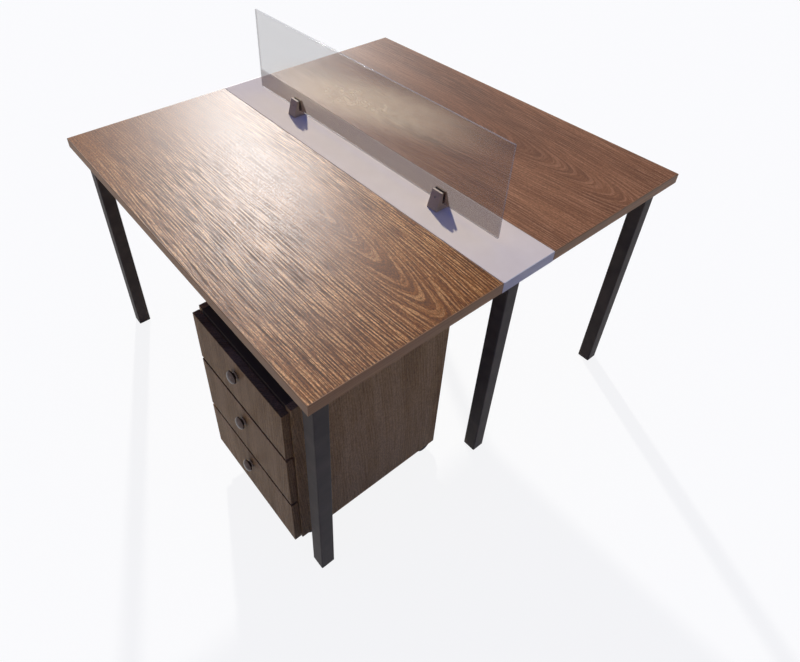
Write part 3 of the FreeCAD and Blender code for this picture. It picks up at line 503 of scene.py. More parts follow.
@dataclass(frozen=True)
class FrostedGlass:
    """Grey glass, lightly frosted, with a denser foot and a pale translucent band in the frosting, which is a
    painted sheen.

    A share is the part that is solid, blurred or under the painted sheen band. A face begins between two shares
    of the half thickness, and the other heights and spans are in metres.
    """

    name: str
    tint: Colour
    foot_tint: Colour
    edge: Colour
    # cloud is the colour of the translucent band, a painted sheen.
    cloud: Colour
    half_thickness: float
    foot_top: float
    foot_fade: float = 3 * MM
    face_share: float = 0.215
    foot_share: float = 0.42
    edge_share: float = 0.4
    roughness: float = 0.08
    specular: float = 0.3
    blur_share: float = 0.4
    blur: float = 0.22
    # cloud_share and the band's height, slope, fade and ends place the painted sheen band.
    cloud_share: float = 0.32
    sheen_band_height: float = 0.915
    sheen_band_slope: float = 0.2
    sheen_band_fade: Span = (0.01, 0.09)
    sheen_band_start: Span = (-0.54, -0.08)
    sheen_band_end: Span = (0.0, 0.55)

    smudges = Noise((6.0, 6.0, 9.0), 4.0, 0.6)
    smudge_share = 0.02
    smudge_roughness = 0.12
    blotches = Noise((22.0, 22.0, 52.0), 5.0, 0.7, (0.25, 0.75))
    blotch_left = 0.5
    face_start = (0.9, 0.995)

    def build(self) -> Material:
        """Mix solid, blurred and clear glass, and lay the painted sheen band over them.

        Returns:
            The material.
        """
        board = Board.named(self.name)
        point = board.place()
        along, side, up = board.parts(point)
        smudge = board.noise(point, self.smudges)
        on_face = abs(side).between(*(self.half_thickness * share for share in self.face_start))
        foot = 1.0 - up.between(self.foot_top - self.foot_fade, self.foot_top + self.foot_fade)
        face = foot * (self.foot_share - self.face_share) + self.face_share
        share = on_face * (face - self.edge_share) + self.edge_share + smudge.swing(self.smudge_share)
        solid = board.add("BsdfPrincipled", {
            "Base Color": board.mix(on_face, self.edge, board.mix(foot, self.tint, self.foot_tint)),
            "Roughness": self.roughness + smudge * self.smudge_roughness,
            "Specular IOR Level": self.specular})
        clear = board.add("BsdfTransparent")
        blurred = board.add("BsdfRefraction", {"IOR": 1.0, "Roughness": self.blur})
        plain = board.blend(share, board.blend(self.blur_share, clear, blurred), solid)
        # The translucent layer of the painted sheen band.
        lit = board.add("BsdfTranslucent", {"Color": self.cloud})
        return board.close(board.blend(self.density(board, point, along, up), plain, lit))

    def density(self, board: Board, point: Socket, along: Signal, up: Signal) -> Signal:
        """Say how dense the painted sheen band is: blotchy, and fading towards both ends.

        Args:
            board: The material's board.
            point: The surface point.
            along: Its distance along the screen.
            up: Its height.

        Returns:
            The density, from 0 to 1.
        """
        band = 1.0 - abs(up - self.sheen_band_height - along * self.sheen_band_slope).between(*self.sheen_band_fade)
        fade = (1.0 - along.between(*self.sheen_band_end)) * along.between(*self.sheen_band_start)
        blotch = board.noise(point, self.blotches).at_least(self.blotch_left)
        return band * fade * blotch * self.cloud_share


@dataclass(frozen=True)
class EdgeBand:
    """A plastic edge band printed with a streak along the board."""

    name: str
    base: Colour
    streak: Colour
    roughness: float = 0.5
    specular: float = 0.2
    relief: float = 0.04 * MM

    streaks = Noise((3.0, 3.0, 420.0), 3.0, 0.6)
    streak_span = (0.32, 0.7)
    streak_roughness = 0.15
    specks = Noise((700.0, 700.0, 700.0), 1.0)

    def build(self) -> Material:
        """Streak the band.

        Returns:
            The material.
        """
        board = Board.named(self.name)
        point = board.place()
        printed = board.noise(point, self.streaks)
        speck = board.noise(point, self.specks)
        return board.surface(
            base_color=board.mix(printed.between(*self.streak_span), self.base, self.streak),
            roughness=self.roughness + printed.swing(self.streak_roughness),
            specular_ior_level=self.specular,
            normal=board.bump(speck * 0.5 + printed * 0.5, self.relief))


def srgb(red: int, green: int, blue: int) -> Colour:
    """A colour given as screen values, in the shader's linear values."""
    return tuple(((part / 255 + 0.055) / 1.055) ** 2.4 if part > 10 else part / 255 / 12.92
                 for part in (red, green, blue))


class Finish(Enum):
    """Every finish of the object."""

    NEAR_DESK = WoodLaminate(
        "near_desk_laminate", Grain.ALONG_X, dark=srgb(95, 50, 15), middle=srgb(116, 65, 22),
        pale=srgb(132, 79, 30), fibre=srgb(202, 152, 94), heart=0.49, arch_start=0.12, calm_end=(-0.55, -0.15))
    FAR_DESK = WoodLaminate(
        "far_desk_laminate", Grain.ALONG_X, dark=srgb(102, 64, 40), middle=srgb(124, 81, 52),
        pale=srgb(138, 93, 61), fibre=srgb(181, 134, 97), shift=(3.1, 1.7, 0.4), heart=3.25, arch_start=2.9,
        ridge_height=0.15 * MM, contrast=0.4, fleck_contrast=0.5)
    # The drawer fronts' grained laminate, made paler on the cabinet's sides as painted light for the weaker
    # light they get.
    CABINET_SIDE = WoodLaminate(
        "cabinet_laminate_painted_light", Grain.UPRIGHT, dark=srgb(126, 96, 60), middle=srgb(146, 114, 74),
        pale=srgb(159, 127, 86), fibre=srgb(184, 152, 110), shift=(0.7, 5.2, 2.3), heart=5.35,
        arch_start=-0.6, arch_taper=0.25, ridge_spacing=7 * MM, ridge_height=0.1 * MM,
        contrast=0.25, fleck_contrast=0.5, roughness=0.5, specular=0.05)
    DRAWER_FRONT = WoodLaminate(
        "drawer_front_laminate", Grain.UPRIGHT, dark=srgb(102, 75, 46), middle=srgb(121, 93, 60),
        pale=srgb(135, 106, 73), fibre=srgb(164, 134, 100), shift=(2.7, 0.6, 4.3), heart=0.2,
        ridge_spacing=7 * MM, ridge_height=0.1 * MM,
        contrast=0.25, fleck_contrast=0.5, roughness=0.5, specular=0.05)
    # Painted shade: a near-black board colour for the shade under the desktop.
    CABINET_DARK = PaintedSurface(
        "cabinet_painted_shade_board", srgb(46, 38, 34), srgb(56, 46, 40), grain_size=1.5 * MM, roughness=0.6)
    DESK_EDGE = EdgeBand("desk_edge_band", srgb(122, 86, 50), srgb(148, 108, 68))
    STRIP = PaintedSurface(
        "white_laminate", srgb(208, 194, 177), srgb(213, 200, 184), grain_size=1.2 * MM,
        roughness=0.65, specular=0.01)
    STRIP_EDGE = EdgeBand("strip_end_band", srgb(176, 171, 168), srgb(190, 185, 182))
    FRAME_PAINT = PaintedSurface(
        "black_powder_coat", srgb(67, 60, 53), srgb(81, 73, 64), grain_size=0.8 * MM, grain_height=0.05 * MM,
        roughness=0.5, specular=0.05)
    FOOT = PaintedSurface("foot_plastic", srgb(24, 24, 25), srgb(34, 33, 34), roughness=0.6)
    ZINC = BrushedMetal("zinc_plate", srgb(190, 190, 186), srgb(158, 158, 154), roughness=0.38)
    RUNNER = BrushedMetal("runner_steel", srgb(186, 188, 190), srgb(160, 162, 166), lines=(900.0, 20.0, 900.0))
    TRAY = PaintedSurface("tray_paint", srgb(76, 73, 67), srgb(88, 84, 77), grain_size=0.6 * MM, roughness=0.42)
    KNOB = BrushedMetal(
        "knob_metal", srgb(80, 70, 68), srgb(62, 54, 54), lines=(500.0, 500.0, 500.0), roughness=0.3)
    CLIP = PaintedSurface(
        "clip_metal", srgb(164, 146, 124), srgb(186, 168, 144), grain_size=0.5 * MM, grain_height=0.02 * MM,
        roughness=0.62, specular=0.1)
    LINER = PaintedSurface("liner_rubber", srgb(30, 30, 30), srgb(42, 41, 40), roughness=0.7)
    # The glass's cloud colour is a painted sheen.
    GLASS = FrostedGlass(
        "screen_glass", tint=srgb(136, 130, 120), foot_tint=srgb(122, 88, 66), edge=srgb(150, 150, 148),
        cloud=srgb(222, 208, 190), half_thickness=3 * MM, foot_top=828 * MM)
    CASTER_HOOD = PaintedSurface("caster_plastic", srgb(28, 28, 30), srgb(38, 38, 40), roughness=0.5)
    WHEEL = PaintedSurface("wheel_plastic", srgb(36, 36, 38), srgb(54, 53, 53))

    @cached_property
    def material(self) -> Material:
        """The finish's material, made when it is first asked for."""
        return self.value.build()


# Modelling tools

class Bench:
    """Mesh work by operators, as at a bench: one piece at a time, all else put aside."""

    crease = math.radians(35.0)

    @staticmethod
    def clear() -> None:
        """Leave edit mode and deselect everything."""
        if bpy.context.object and bpy.context.object.mode != "OBJECT":
            bpy.ops.object.mode_set(mode="OBJECT")
        bpy.ops.object.select_all(action="DESELECT")

    @staticmethod
    def take(*pieces: Piece) -> None:
        """Select these pieces and no others, and make the first one active."""
        Bench.clear()
        for piece in pieces:
            piece.select_set(True)
        bpy.context.view_layer.objects.active = pieces[0]

    @staticmethod
    def throw_away(*pieces: Piece) -> None:
        """Delete these pieces."""
        Bench.take(*pieces)
        bpy.ops.object.delete()

    @staticmethod
    def turned(name: str, rings: list[Ring], segments: int) -> Piece:
        """Draw a turned form up from its base, ring by ring.

        Args:
            name: The piece's name.
            rings: Radius and height of each ring, the first at the base.
            segments: Sides of the form.

        Returns:
            The closed form, standing on the origin along Z.
        """
        Bench.clear()
        radius, height = rings[0]
        bpy.ops.mesh.primitive_circle_add(vertices=segments, radius=radius, fill_type="NGON",
                                          location=(0.0, 0.0, height))
        piece = bpy.context.object
        piece.name = piece.data.name = name
        bpy.ops.object.transform_apply(location=True)
        bpy.ops.object.mode_set(mode="EDIT")
        bpy.ops.mesh.select_all(action="SELECT")
        for next_radius, next_height in rings[1:]:
            bpy.ops.mesh.extrude_region_move(
                TRANSFORM_OT_translate={"value": (0.0, 0.0, next_height - height)})
            share = next_radius / radius
            bpy.ops.transform.resize(value=(share, share, 1.0), center_override=(0.0, 0.0, next_height))
            radius, height = next_radius, next_height
        bpy.ops.mesh.select_all(action="SELECT")
        bpy.ops.mesh.normals_make_consistent(inside=False)
        bpy.ops.object.mode_set(mode="OBJECT")
        return piece

    @staticmethod
    def block(name: str, low: Vector, high: Vector) -> Piece:
        """Make a plain block, to be shaped.

        Args:
            name: The piece's name.
            low: Its corner nearest the axes' low ends.
            high: The opposite corner.

        Returns:
            The block.
        """
        Bench.clear()
        bpy.ops.mesh.primitive_cube_add(size=1.0, location=(low + high) / 2, scale=high - low)
        piece = bpy.context.object
        piece.name = piece.data.name = name
        bpy.ops.object.transform_apply(location=True, scale=True)
        return piece

    @staticmethod
    def edit(piece: Piece, kind: str, wanted: Test) -> None:
        """Open a piece in edit mode with some of its parts selected.

        Args:
            piece: The piece.
            kind: "EDGE" or "FACE".
            wanted: Says whether the part with these corner points is selected.
        """
        Bench.take(piece)
        mesh = piece.data
        for part in (*mesh.vertices, *mesh.edges, *mesh.polygons):
            part.select = False
        for part in mesh.edges if kind == "EDGE" else mesh.polygons:
            part.select = wanted([mesh.vertices[index].co for index in part.vertices])
        bpy.context.tool_settings.mesh_select_mode = (False, kind == "EDGE", kind == "FACE")
        bpy.ops.object.mode_set(mode="EDIT")

    @staticmethod
    def apply(piece: Piece, kind: str, **settings: Any) -> None:
        """Add one modifier to a piece and apply it.

        Args:
            piece: The piece.
            kind: The modifier's type.
            settings: Its properties.
        """
        Bench.take(piece)
        modifier = piece.modifiers.new(kind.lower(), kind)
        for name, value in settings.items():
            setattr(modifier, name, value)
        bpy.ops.object.modifier_apply(modifier=modifier.name)

    @staticmethod
    def carve(piece: Piece, cutter: Piece) -> None:
        """Cut one piece out of another and throw the cutter away."""
        Bench.apply(piece, "BOOLEAN", object=cutter, operation="DIFFERENCE", solver="EXACT")
        Bench.throw_away(cutter)

    @staticmethod
    def solids(node: str) -> list[list[Vector]]:
        """Read the solids of a CAD node from a merged copy.

        Args:
            node: The node's name.

        Returns:
            The corner points of each separate solid.
        """
        Bench.take(Bench.copy(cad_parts[node], "measured"))
        bpy.ops.object.mode_set(mode="EDIT")
        bpy.ops.mesh.select_all(action="SELECT")
        bpy.ops.mesh.remove_doubles(threshold=TOUCHING)
        bpy.ops.mesh.separate(type="LOOSE")
        bpy.ops.object.mode_set(mode="OBJECT")
        parts = list(bpy.context.selected_objects)
        points = [[vertex.co.copy() for vertex in part.data.vertices] for part in parts]
        Bench.throw_away(*parts)
        return points

    @staticmethod
    def settle(piece: Piece, matrix: Matrix) -> Piece:
        """Put a piece in its place and leave its object at the origin.

        Args:
            piece: The piece.
            matrix: Moves it from where it was made to its place.

        Returns:
            The same piece.
        """
        Bench.clear()
        piece.data.transform(matrix)
        piece.data.update()
        return piece

    @staticmethod
    def smooth(piece: Piece) -> None:
        """Shade a piece smooth, and keep its creases.

        Args:
            piece: The piece.
        """
        Bench.take(piece)
        bpy.ops.object.shade_smooth_by_angle(angle=Bench.crease)
        Bench.clear()

    @staticmethod
    def copy(piece: Piece, name: str) -> Piece:
        """Copy a piece.

        Args:
            piece: The piece.
            name: The copy's name.

        Returns:
            The copy, with its own mesh.
        """
        made = piece.copy()
        made.data = piece.data.copy()
        made.name = made.data.name = name
        bpy.context.scene.collection.objects.link(made)
        return made

    @staticmethod
    def join(name: str, pieces: list[Piece]) -> Piece:
        """Join several pieces.

        Args:
            name: The joined piece's name.
            pieces: What it is made of.

        Returns:
            The joined piece.
        """
        Bench.take(*pieces)
        bpy.ops.object.join()
        made = bpy.context.object
        made.name = made.data.name = name
        Bench.clear()
        return made


def finish(piece: Piece, look: Finish) -> None:
    """Give a piece a finish, and no other."""
    piece.data.materials.clear()
    piece.data.materials.append(look.material)


def dress(look: Finish, *nodes: str) -> None:
    """Give CAD nodes a finish."""
    for node in nodes:
        finish(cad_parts[node], look)
        log.info("dressed %s in %s", node, look.material.name)


def hand_over(piece: Piece, look: Finish, body: str, slot: str, *nodes: str) -> None:
    """Shade a new piece smooth, give it its finish, hang it on its body and hide the CAD nodes that it stands
    for.

    Args:
        piece: The piece, in its place.
        look: Its finish.
        body: The body that it rides on.
        slot: Not used.
        nodes: The CAD nodes that it stands for.
    """
    Bench.smooth(piece)
    finish(piece, look)
    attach(piece, body)
    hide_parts(*nodes)
    log.info("made %s for %s", piece.name, ", ".join(nodes))


# Fittings that several sub-assemblies share

@dataclass(frozen=True)
class Seat:
    """Where a fastener sits: the middle of its tip end, the way to its head, its length and head radius."""

    tip: Vector
    way: Vector
    length: float
    radius: float

    end_depth = 0.1 * MM

    @classmethod
    def of(cls, points: list[Vector]) -> "Seat":
        """Read the seat of a straight fastener, whose head is its wider end.

        Args:
            points: The fastener's corner points.

        Returns:
            The seat.
        """
        low = Vector(min(point[axis] for point in points) for axis in range(3))
        high = Vector(max(point[axis] for point in points) for axis in range(3))
        size, middle = high - low, (low + high) / 2
        axis = max(range(3), key=lambda index: size[index])
        way = Vector(float(index == axis) for index in range(3))
        reach = size[axis] / 2

        def spread(end: float) -> float:
            """The radius near one end."""
            close = [point - middle for point in points
                     if abs((point - middle)[axis] - end * reach) < cls.end_depth]
            return max(((offset - way * offset[axis]).length for offset in close), default=0.0)

        if spread(-1.0) > spread(1.0):
            way = -way
        radius = max(size[index] for index in range(3) if index != axis) / 2
        return cls(middle - way * reach, way, size[axis], radius)

    def facing(self, way: Vector) -> "Seat":
        """The same place, with the head at the end that the way points to."""
        middle = self.tip + self.way * self.length / 2
        return Seat(middle - way * self.length / 2, way, self.length, self.radius)

    def matrix(self) -> Matrix:
        """Moves a fastener that stands on the origin along Z, head up, to the seat."""
        return Matrix.Translation(self.tip) @ self.way.to_track_quat("Z", "Y").to_matrix().to_4x4()


@dataclass(frozen=True)
class WoodScrews:
    """The wood screws of one node: pointed shanks and domed heads with a cross recess.

    The point's rings are in shares of the shank's radius, and the dome's in shares of the head's
    radius and height.
    """

    node: str
    body: str
    segments: int = 20
    head_height: float = 2.4 * MM
    shank_share: float = 0.5
    recess_width: float = 1.1 * MM
    recess_depth: float = 1.3 * MM
    recess_share: float = 0.62
    point: tuple[Ring, ...] = ((0.1, 0.0), (0.55, 1.2), (1.0, 2.6))
    dome: tuple[Ring, ...] = (
        (0.94, 0.0), (1.0, 0.08), (1.0, 0.3), (0.95, 0.58), (0.82, 0.82), (0.62, 0.95), (0.4, 1.0), (0.1, 1.0))

    def build(self) -> None:
        """Make one screw of each length, and copy it to every seat."""
        masters: dict[int, Piece] = {}
        screws = []
        for number, seat in enumerate(Seat.of(points) for points in Bench.solids(self.node)):
            size = round(seat.length / MM * 10)
            if size not in masters:
                masters[size] = self.make_master(f"{self.node}_master_{size}", seat)
            screw = Bench.copy(masters[size], f"{self.node}_{number + 1}")
            screws.append(Bench.settle(screw, seat.matrix()))
        Bench.throw_away(*masters.values())
        made = Bench.join(f"{self.node}_crossed", screws)
        hand_over(made, Finish.ZINC, self.body, "zinc_steel", self.node)

    def make_master(self, name: str, seat: Seat) -> Piece:
        """Make one screw, standing on its tip.

        Args:
            name: Its name.
            seat: The seat that it is made for.

        Returns:
            The screw.
        """
        head, shank = seat.radius, seat.radius * self.shank_share
        neck = seat.length - self.head_height
        rings = [(shank * wide, shank * high) for wide, high in self.point] + [(shank, neck)]
        rings += [(head * wide, neck + self.head_height * high) for wide, high in self.dome]
        screw = Bench.turned(name, rings, self.segments)
        long, narrow = head * self.recess_share, self.recess_width / 2
        for x, y in ((long, narrow), (narrow, long)):
            low = Vector((-x, -y, seat.length - self.recess_depth))
            Bench.carve(screw, Bench.block("recess", low, Vector((x, y, seat.length + MM))))
        return screw


@dataclass(frozen=True)
class GrubScrews:
    """The headless screws of the clips, each with a six-sided socket in its outer end."""

    node: str = "clip_grub_screws"
    segments: int = 32
    chamfer: float = 0.4 * MM
    socket_sides: int = 6
    socket_radius: float = 1.45 * MM
    socket_depth: float = 3 * MM

    def build(self) -> None:
        """Make both screws."""
        screws = []
        for number, points in enumerate(Bench.solids(self.node)):
            seat = Seat.of(points)
            seat = seat.facing(Vector((0.0, math.copysign(1.0, seat.tip.y), 0.0)))
            inner, neck = seat.radius - self.chamfer, seat.length - self.chamfer
            rings = [(inner, 0.0), (seat.radius, self.chamfer), (seat.radius, neck), (inner, seat.length)]
            screw = Bench.turned(f"{self.node}_{number + 1}", rings, self.segments)
            bpy.ops.mesh.primitive_cylinder_add(
                vertices=self.socket_sides, radius=self.socket_radius, depth=self.socket_depth * 2,
                location=(0.0, 0.0, seat.length))
            Bench.carve(screw, bpy.context.object)
            screws.append(Bench.settle(screw, seat.matrix()))
        made = Bench.join(f"{self.node}_socketed", screws)
        hand_over(made, Finish.ZINC, "table", "zinc_steel", self.node)


# The object's sub-assemblies

class Desktops:
    """The two desktops, their edge bands and the strip between them."""

    def build(self) -> None:
        """Dress the boards and their bands."""
        dress(Finish.NEAR_DESK, "desktop_near")
        dress(Finish.FAR_DESK, "desktop_far")
        dress(Finish.DESK_EDGE, "edge_band_near", "edge_band_far")
        dress(Finish.STRIP, "centre_strip")
        dress(Finish.STRIP_EDGE, "strip_end_bands")


@dataclass(frozen=True)
class SteelFrame:
    """Legs, rails and beams of square tube, with their brackets, lugs and feet."""

    feet: str = "leg_feet"
    tubes: tuple[str, ...] = ("leg_", "beam_", "end_rail_")

    def build(self) -> None:
        """Dress the frame."""
        tubes = [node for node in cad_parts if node.startswith(self.tubes) and node != self.feet]
        dress(Finish.FRAME_PAINT, *tubes, "fixing_lugs")
        dress(Finish.FOOT, self.feet)
        dress(Finish.ZINC, "bracket_bolts", "joint_plates")
        WoodScrews("board_screws", "table").build()


class GlassScreen:
    """The screen and the clips that hold it."""

    def build(self) -> None:
        """Dress the glass, which casts no shadow, and its clips."""
        dress(Finish.GLASS, "glass_screen")
        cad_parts["glass_screen"].visible_shadow = False
        dress(Finish.CLIP, "clip_left", "clip_right")
        dress(Finish.LINER, "clip_liners")
        GrubScrews().build()
        dress(Finish.ZINC, "clip_fixing_screws")


class Cabinet:
    """The pedestal's boards, outer runners and caster plates."""

    def build(self) -> None:
        """Dress the cabinet."""
        # The sides' paler laminate is painted light.
        dress(Finish.CABINET_SIDE, "cabinet_side_left", "cabinet_side_right")
        # The cabinet's top, bottom and back take painted shade.
        dress(Finish.CABINET_DARK, "cabinet_top", "cabinet_bottom", "cabinet_back")
        dress(Finish.RUNNER, "cabinet_runners")
        WoodScrews("cabinet_screws", "pedestal").build()
        dress(Finish.ZINC, "caster_plates")


@dataclass(frozen=True)
class Drawer:
    """One drawer: front, tray, inner runners and a turned knob, whose profile is in millimetres."""

    level: int
    tray_wall: float = 1.5 * MM
    tray_round: float = 5 * MM
    tray_round_steps: int = 5
    rim_width: float = 8 * MM
    rim_return: float = 4 * MM
    panel_margin: float = 26 * MM
    panel_step: float = 1.2 * MM
    segments: int = 64
    profile: tuple[Ring, ...] = (
        (10.0, 0.0), (10.0, 1.2), (9.7, 2.0), (9.1, 2.8), (8.8, 3.9), (9.2, 5.0), (10.6, 6.0), (13.0, 6.9),
        (15.4, 7.6), (16.6, 8.4), (17.0, 9.6), (17.0, 11.0), (16.7, 12.6), (15.8, 14.4), (14.3, 16.0),
        (12.2, 17.4), (9.6, 18.6), (6.6, 19.4), (3.4, 19.9), (1.2, 20.0))

    def build(self) -> None:
        """Dress the drawer, and make its tray and knob."""
        dress(Finish.DRAWER_FRONT, f"{self.name}_front")
        dress(Finish.RUNNER, f"{self.name}_slides")
        self.make_tray()
        self.make_knob()

    @property
    def name(self) -> str:
        """The drawer's name."""
        return f"drawer_{self.level}"

    def make_tray(self) -> None:
        """Fold the tray from sheet: rounded corners, a pressed floor and a rim turned inwards and down."""
        low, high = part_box(f"{self.name}_tray")
        tray = Bench.block(f"{self.name}_folded_tray", low, high)
        Bench.edit(tray, "FACE", self.at_height(high.z))
        bpy.ops.mesh.delete(type="FACE")
        Bench.edit(tray, "FACE", self.at_height(low.z))
        bpy.ops.mesh.inset(thickness=self.panel_margin, depth=0.0)
        bpy.ops.mesh.inset(thickness=self.panel_step, depth=-self.panel_step)
        Bench.edit(tray, "EDGE", lambda ends: abs(ends[0].z - ends[1].z) > 2 * self.panel_step)
        bpy.ops.mesh.bevel(offset=self.tray_round, segments=self.tray_round_steps, affect="EDGES")
        Bench.edit(tray, "EDGE", self.at_height(high.z))
        middle, size = (low + high) / 2, high - low
        shares = [1.0 - 2.0 * self.rim_width / size[axis] for axis in range(2)]
        bpy.ops.mesh.extrude_region_move(TRANSFORM_OT_translate={"value": (0.0, 0.0, 0.0)})
        bpy.ops.transform.resize(value=(*shares, 1.0), center_override=middle)
        bpy.ops.mesh.extrude_region_move(TRANSFORM_OT_translate={"value": (0.0, 0.0, -self.rim_return)})
        bpy.ops.mesh.select_all(action="SELECT")
        bpy.ops.mesh.normals_make_consistent(inside=False)
        Bench.apply(tray, "SOLIDIFY", thickness=self.tray_wall, offset=-1.0, use_even_offset=True)
        hand_over(tray, Finish.TRAY, self.name, "tray_steel", f"{self.name}_tray")

    @staticmethod
    def at_height(height: float) -> Test:
        """A test for parts that lie at one height."""
        return lambda corners: all(abs(corner.z - height) < TOUCHING for corner in corners)

    def make_knob(self) -> None:
        """Turn the knob and set it on the front, facing the user."""
        rings = [(radius * MM, height * MM) for radius, height in self.profile]
        knob = Bench.turned(f"{self.name}_turned_knob", rings, self.segments)
        low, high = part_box(f"{self.name}_knob")
        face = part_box(f"{self.name}_front")[0].y
        spot = Vector(((low.x + high.x) / 2, face, (low.z + high.z) / 2))
        Bench.settle(knob, Matrix.Translation(spot) @ Matrix.Rotation(math.pi / 2, 4, "X"))
        hand_over(knob, Finish.KNOB, self.name, "knob_metal", f"{self.name}_knob")


@dataclass(frozen=True)
class Caster:
    """One twin-wheel caster. The profile of one wheel is in millimetres."""

    corner: str
    segments: int = 48
    spokes: int = 6
    spoke_share: float = 0.28
    pocket_edge: float = 0.7 * MM
    pocket_depth: float = 1.2 * MM
    dish_radii: Span = (7.5 * MM, 17 * MM)
    dish_depths: Span = (2 * MM, 4 * MM)
    width: float = 43 * MM
    profile: tuple[Ring, ...] = (
        (1.2, 1.0), (5.0, 1.0), (6.3, 1.4), (6.9, 2.2), (7.1, 3.0), (17.2, 3.0), (19.4, 2.5), (20.7, 1.4),
        (21.2, 0.4), (21.9, 0.0), (22.7, 0.0), (24.1, 0.5), (24.8, 1.5), (25.0, 3.0), (25.0, 6.4), (24.6, 6.8),
        (24.6, 8.2), (25.0, 8.6), (25.0, 12.0), (24.8, 13.5), (24.1, 14.5), (22.7, 15.0), (4.2, 15.0),
        (3.0, 15.3))

    def build(self) -> None:
        """Dress the hood, turn both wheels and their axle as one, and press pockets between the spokes."""
        name = f"caster_{self.corner}"
        dress(Finish.CASTER_HOOD, f"{name}_housing")
        near = [(radius * MM, height * MM) for radius, height in self.profile]
        far = [(radius, self.width - height) for radius, height in reversed(near)]
        pair = Bench.turned(f"{name}_spoked_wheels", near + far, self.segments)
        Bench.edit(pair, "FACE", self.between_spokes)
        bpy.ops.mesh.inset(thickness=self.pocket_edge, depth=-self.pocket_depth)
        low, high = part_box(f"{name}_wheels")
        spot = Vector((low.x, (low.y + high.y) / 2, (low.z + high.z) / 2))
        Bench.settle(pair, Matrix.Translation(spot) @ Matrix.Rotation(math.pi / 2, 4, "Y"))
        hand_over(pair, Finish.WHEEL, f"wheels_{self.corner}", "wheel_plastic", f"{name}_wheels")

    def between_spokes(self, corners: list[Vector]) -> bool:
        """Find the faces of the turned form that lie on a wheel's dish, between two spokes.

        Args:
            corners: The face's corner points.

        Returns:
            Whether it is such a face.
        """
        middle = sum(corners, Vector()) / len(corners)
        drop = max(corner.z for corner in corners) - min(corner.z for corner in corners)
        reach = Vector((middle.x, middle.y)).length
        if drop >= TOUCHING or not self.dish_radii[0] < reach < self.dish_radii[1]:
            return False
        turn = math.atan2(middle.y, middle.x) / (2 * math.pi) * self.spokes % 1.0
        depth = min(middle.z, self.width - middle.z)
        return turn > self.spoke_share and self.dish_depths[0] < depth < self.dish_depths[1]


# Studio

def direction(azimuth: float, elevation: float) -> Vector:
    """The way to a thing seen at an azimuth from +X and an elevation, in degrees."""
    turn, rise = math.radians(azimuth), math.radians(elevation)
    return Vector((math.cos(turn) * math.cos(rise), math.sin(turn) * math.cos(rise), math.sin(rise)))


@dataclass(frozen=True)
class Sun:
    """A far light: where it stands and how wide it looks, in degrees, and how strong it is."""

    azimuth: float
    elevation: float
    width: float
    power: float
    colour: Colour


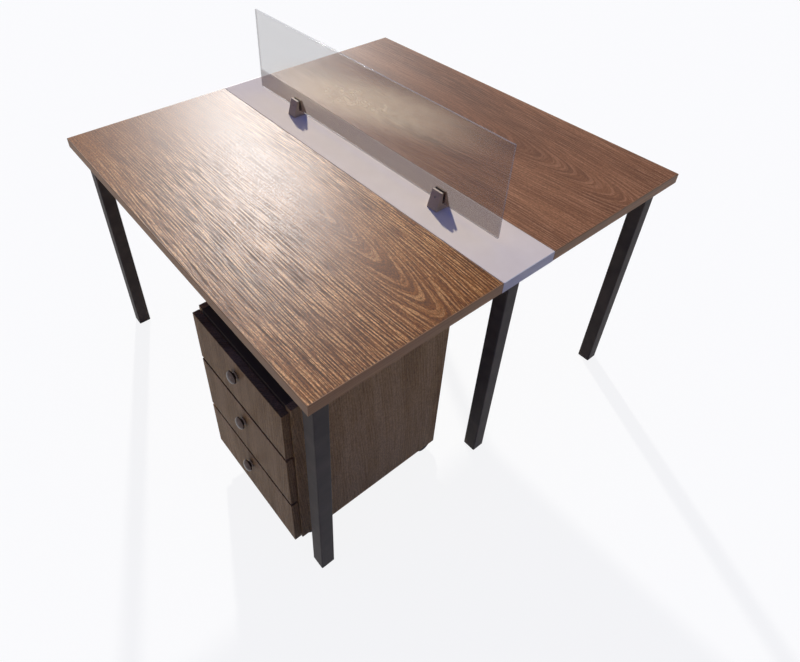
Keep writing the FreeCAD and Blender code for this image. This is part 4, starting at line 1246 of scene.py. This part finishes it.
@dataclass(frozen=True)
class Studio:
    """A pale floor, soft light and the camera."""

    floor_size: float = 60.0
    floor_cells: int = 4
    floor_drop: float = 0.2 * MM
    floor_white: float = 0.89
    floor_shadowed: float = 0.09
    floor_bounce: float = 0.66
    floor_pale: float = 1.02
    floor_mottle: float = 0.1
    floor_cloud: Noise = Noise((0.7, 0.7, 0.7))
    sky_shown: Colour = (0.98, 0.98, 0.985)
    zenith: Colour = (0.06, 0.115, 0.54)
    zenith_rise: float = 0.9
    horizon: Colour = (0.16, 0.15, 0.15)
    key: Sun = Sun(azimuth=154.0, elevation=28.0, width=2.0, power=4.6, colour=(1.0, 0.975, 0.89))
    gloss: Sun = Sun(azimuth=151.6, elevation=34.8, width=8.5, power=9.3, colour=(1.0, 0.98, 0.95))
    fill_spot: Point = (-0.2, -4.2, 0.1)
    fill_aim: Point = (0.2, 0.0, 0.4)
    fill_size: float = 1.2
    fill_power: float = 12.0
    fill_colour: Colour = (1.0, 0.96, 0.9)
    eye: Point = (1.2108, -0.9941, 1.7062)
    eye_azimuth: float = -38.31
    eye_elevation: float = 40.41
    focal_pixels: float = 640.9
    image_width: float = 800.0
    image_height: float = 662.0
    axis_pixel: tuple[float, float] = (350.1, 256.8)
    sensor: float = 36.0
    sight: Span = (0.01, 200.0)

    def build(self) -> None:
        """Make the floor, the lights and the camera."""
        self.make_floor()
        self.make_sky()
        self.make_sun("key_light", self.key, for_gloss=False)
        self.make_sun("gloss_light", self.gloss, for_gloss=True)
        self.make_fill()
        self.make_camera()

    @staticmethod
    def shown(board: Board) -> Signal:
        """Tell what the camera sees, directly, in a mirror or through glass.

        Args:
            board: The nodes of the thing.

        Returns:
            1 where it is seen, and 0 where it only lights other things.
        """
        path = board.add("LightPath").outputs
        rays = [Signal(board, path[name]) for name in ("Is Camera Ray", "Is Glossy Ray", "Is Transmission Ray")]
        return board.maths("MINIMUM", rays[0] + rays[1] + rays[2], 1.0)

    @staticmethod
    def hang(name: str, data: bpy.types.ID, way: Vector) -> Piece:
        """Add a lamp or camera to the scene.

        Args:
            name: Its name.
            data: The lamp or camera.
            way: Where it points.

        Returns:
            Its object.
        """
        made = bpy.data.objects.new(name, data)
        made.rotation_euler = way.to_track_quat("-Z", "Y").to_euler()
        bpy.context.scene.collection.objects.link(made)
        return made

    def make_floor(self) -> None:
        """Make a pale floor that shows white, keeps the object's shadow and is clear from below."""
        Bench.clear()
        bpy.ops.mesh.primitive_grid_add(x_subdivisions=self.floor_cells, y_subdivisions=self.floor_cells,
                                        size=self.floor_size, location=(0.0, 0.0, -self.floor_drop))
        floor = bpy.context.object
        floor.name = floor.data.name = "floor"
        board = Board.named("floor_paint")
        cloud = board.noise(board.place(), self.floor_cloud)
        glow = board.add("Emission", {"Color": (1.0, 1.0, 1.0), "Strength": self.floor_white})
        lit = board.add("BsdfDiffuse", {"Color": (self.floor_shadowed,) * 3})
        white = board.add("AddShader", {0: glow.outputs[0], 1: lit.outputs[0]})
        tone = board.mix(cloud * self.floor_mottle, (self.floor_bounce,) * 3,
                         (self.floor_bounce * self.floor_pale,) * 3)
        plain = board.add("BsdfDiffuse", {"Color": tone})
        above = board.blend(self.shown(board), plain, white)
        behind = board.add("NewGeometry").outputs["Backfacing"]
        floor.data.materials.append(board.close(board.blend(behind, above, board.add("BsdfTransparent"))))
        log.info("made the floor")

    def make_sky(self) -> None:
        """Make a sky that shows white and lights the object from above and from all round."""
        board = Board(bpy.data.worlds.new("studio"))
        up = board.parts(board.add("TexCoord").outputs["Generated"])[2]
        lit = board.mix(up.between(0.0, self.zenith_rise), self.horizon, self.zenith)
        sky = board.mix(self.shown(board), lit, self.sky_shown)
        light = board.add("Background", {"Color": sky, "Strength": 1.0})
        bpy.context.scene.world = board.close(light, "OutputWorld")

    def make_sun(self, name: str, sun: Sun, for_gloss: bool) -> None:
        """Add a far light.

        Args:
            name: Its name.
            sun: Where and how strong it is.
            for_gloss: Whether it makes the sheen alone, or else the shading and shadows alone.
        """
        lamp = bpy.data.lights.new(name, "SUN")
        lamp.energy, lamp.color, lamp.angle = sun.power, sun.colour, math.radians(sun.width)
        light = self.hang(name, lamp, -direction(sun.azimuth, sun.elevation))
        light.visible_glossy, light.visible_diffuse = for_gloss, not for_gloss
        light.visible_transmission = False

    def make_fill(self) -> None:
        """Add a broad weak light on the drawers' side."""
        lamp = bpy.data.lights.new("fill_light", "AREA")
        lamp.energy, lamp.color, lamp.size = self.fill_power, self.fill_colour, self.fill_size
        fill = self.hang("fill_light", lamp, Vector(self.fill_aim) - Vector(self.fill_spot))
        fill.location = self.fill_spot

    def make_camera(self) -> None:
        """Set up the camera at the photograph's angle, with its picture shifted as the photograph's is."""
        lens = bpy.data.cameras.new("camera")
        lens.sensor_width = self.sensor
        lens.lens = self.focal_pixels / self.image_width * self.sensor
        lens.shift_x = (self.image_width / 2 - self.axis_pixel[0]) / self.image_width
        lens.shift_y = -(self.image_height / 2 - self.axis_pixel[1]) / self.image_width
        lens.clip_start, lens.clip_end = self.sight
        camera = self.hang("camera", lens, -direction(self.eye_azimuth, self.eye_elevation))
        camera.location = self.eye
        bpy.context.scene.camera = camera


def main() -> None:
    """Build the looks in order, and set the Standard view transform."""
    logging.basicConfig(level=logging.INFO, format="%(message)s")
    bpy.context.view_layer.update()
    assemblies = [Studio(), Desktops(), SteelFrame(), GlassScreen(), Cabinet()]
    assemblies += [Drawer(level) for level in (1, 2, 3)]
    assemblies += [Caster(corner) for corner in ("front_left", "front_right", "rear_left", "rear_right")]
    for assembly in assemblies:
        assembly.build()
    bpy.context.scene.view_settings.view_transform = "Standard"


if __name__ == "__main__":
    main()
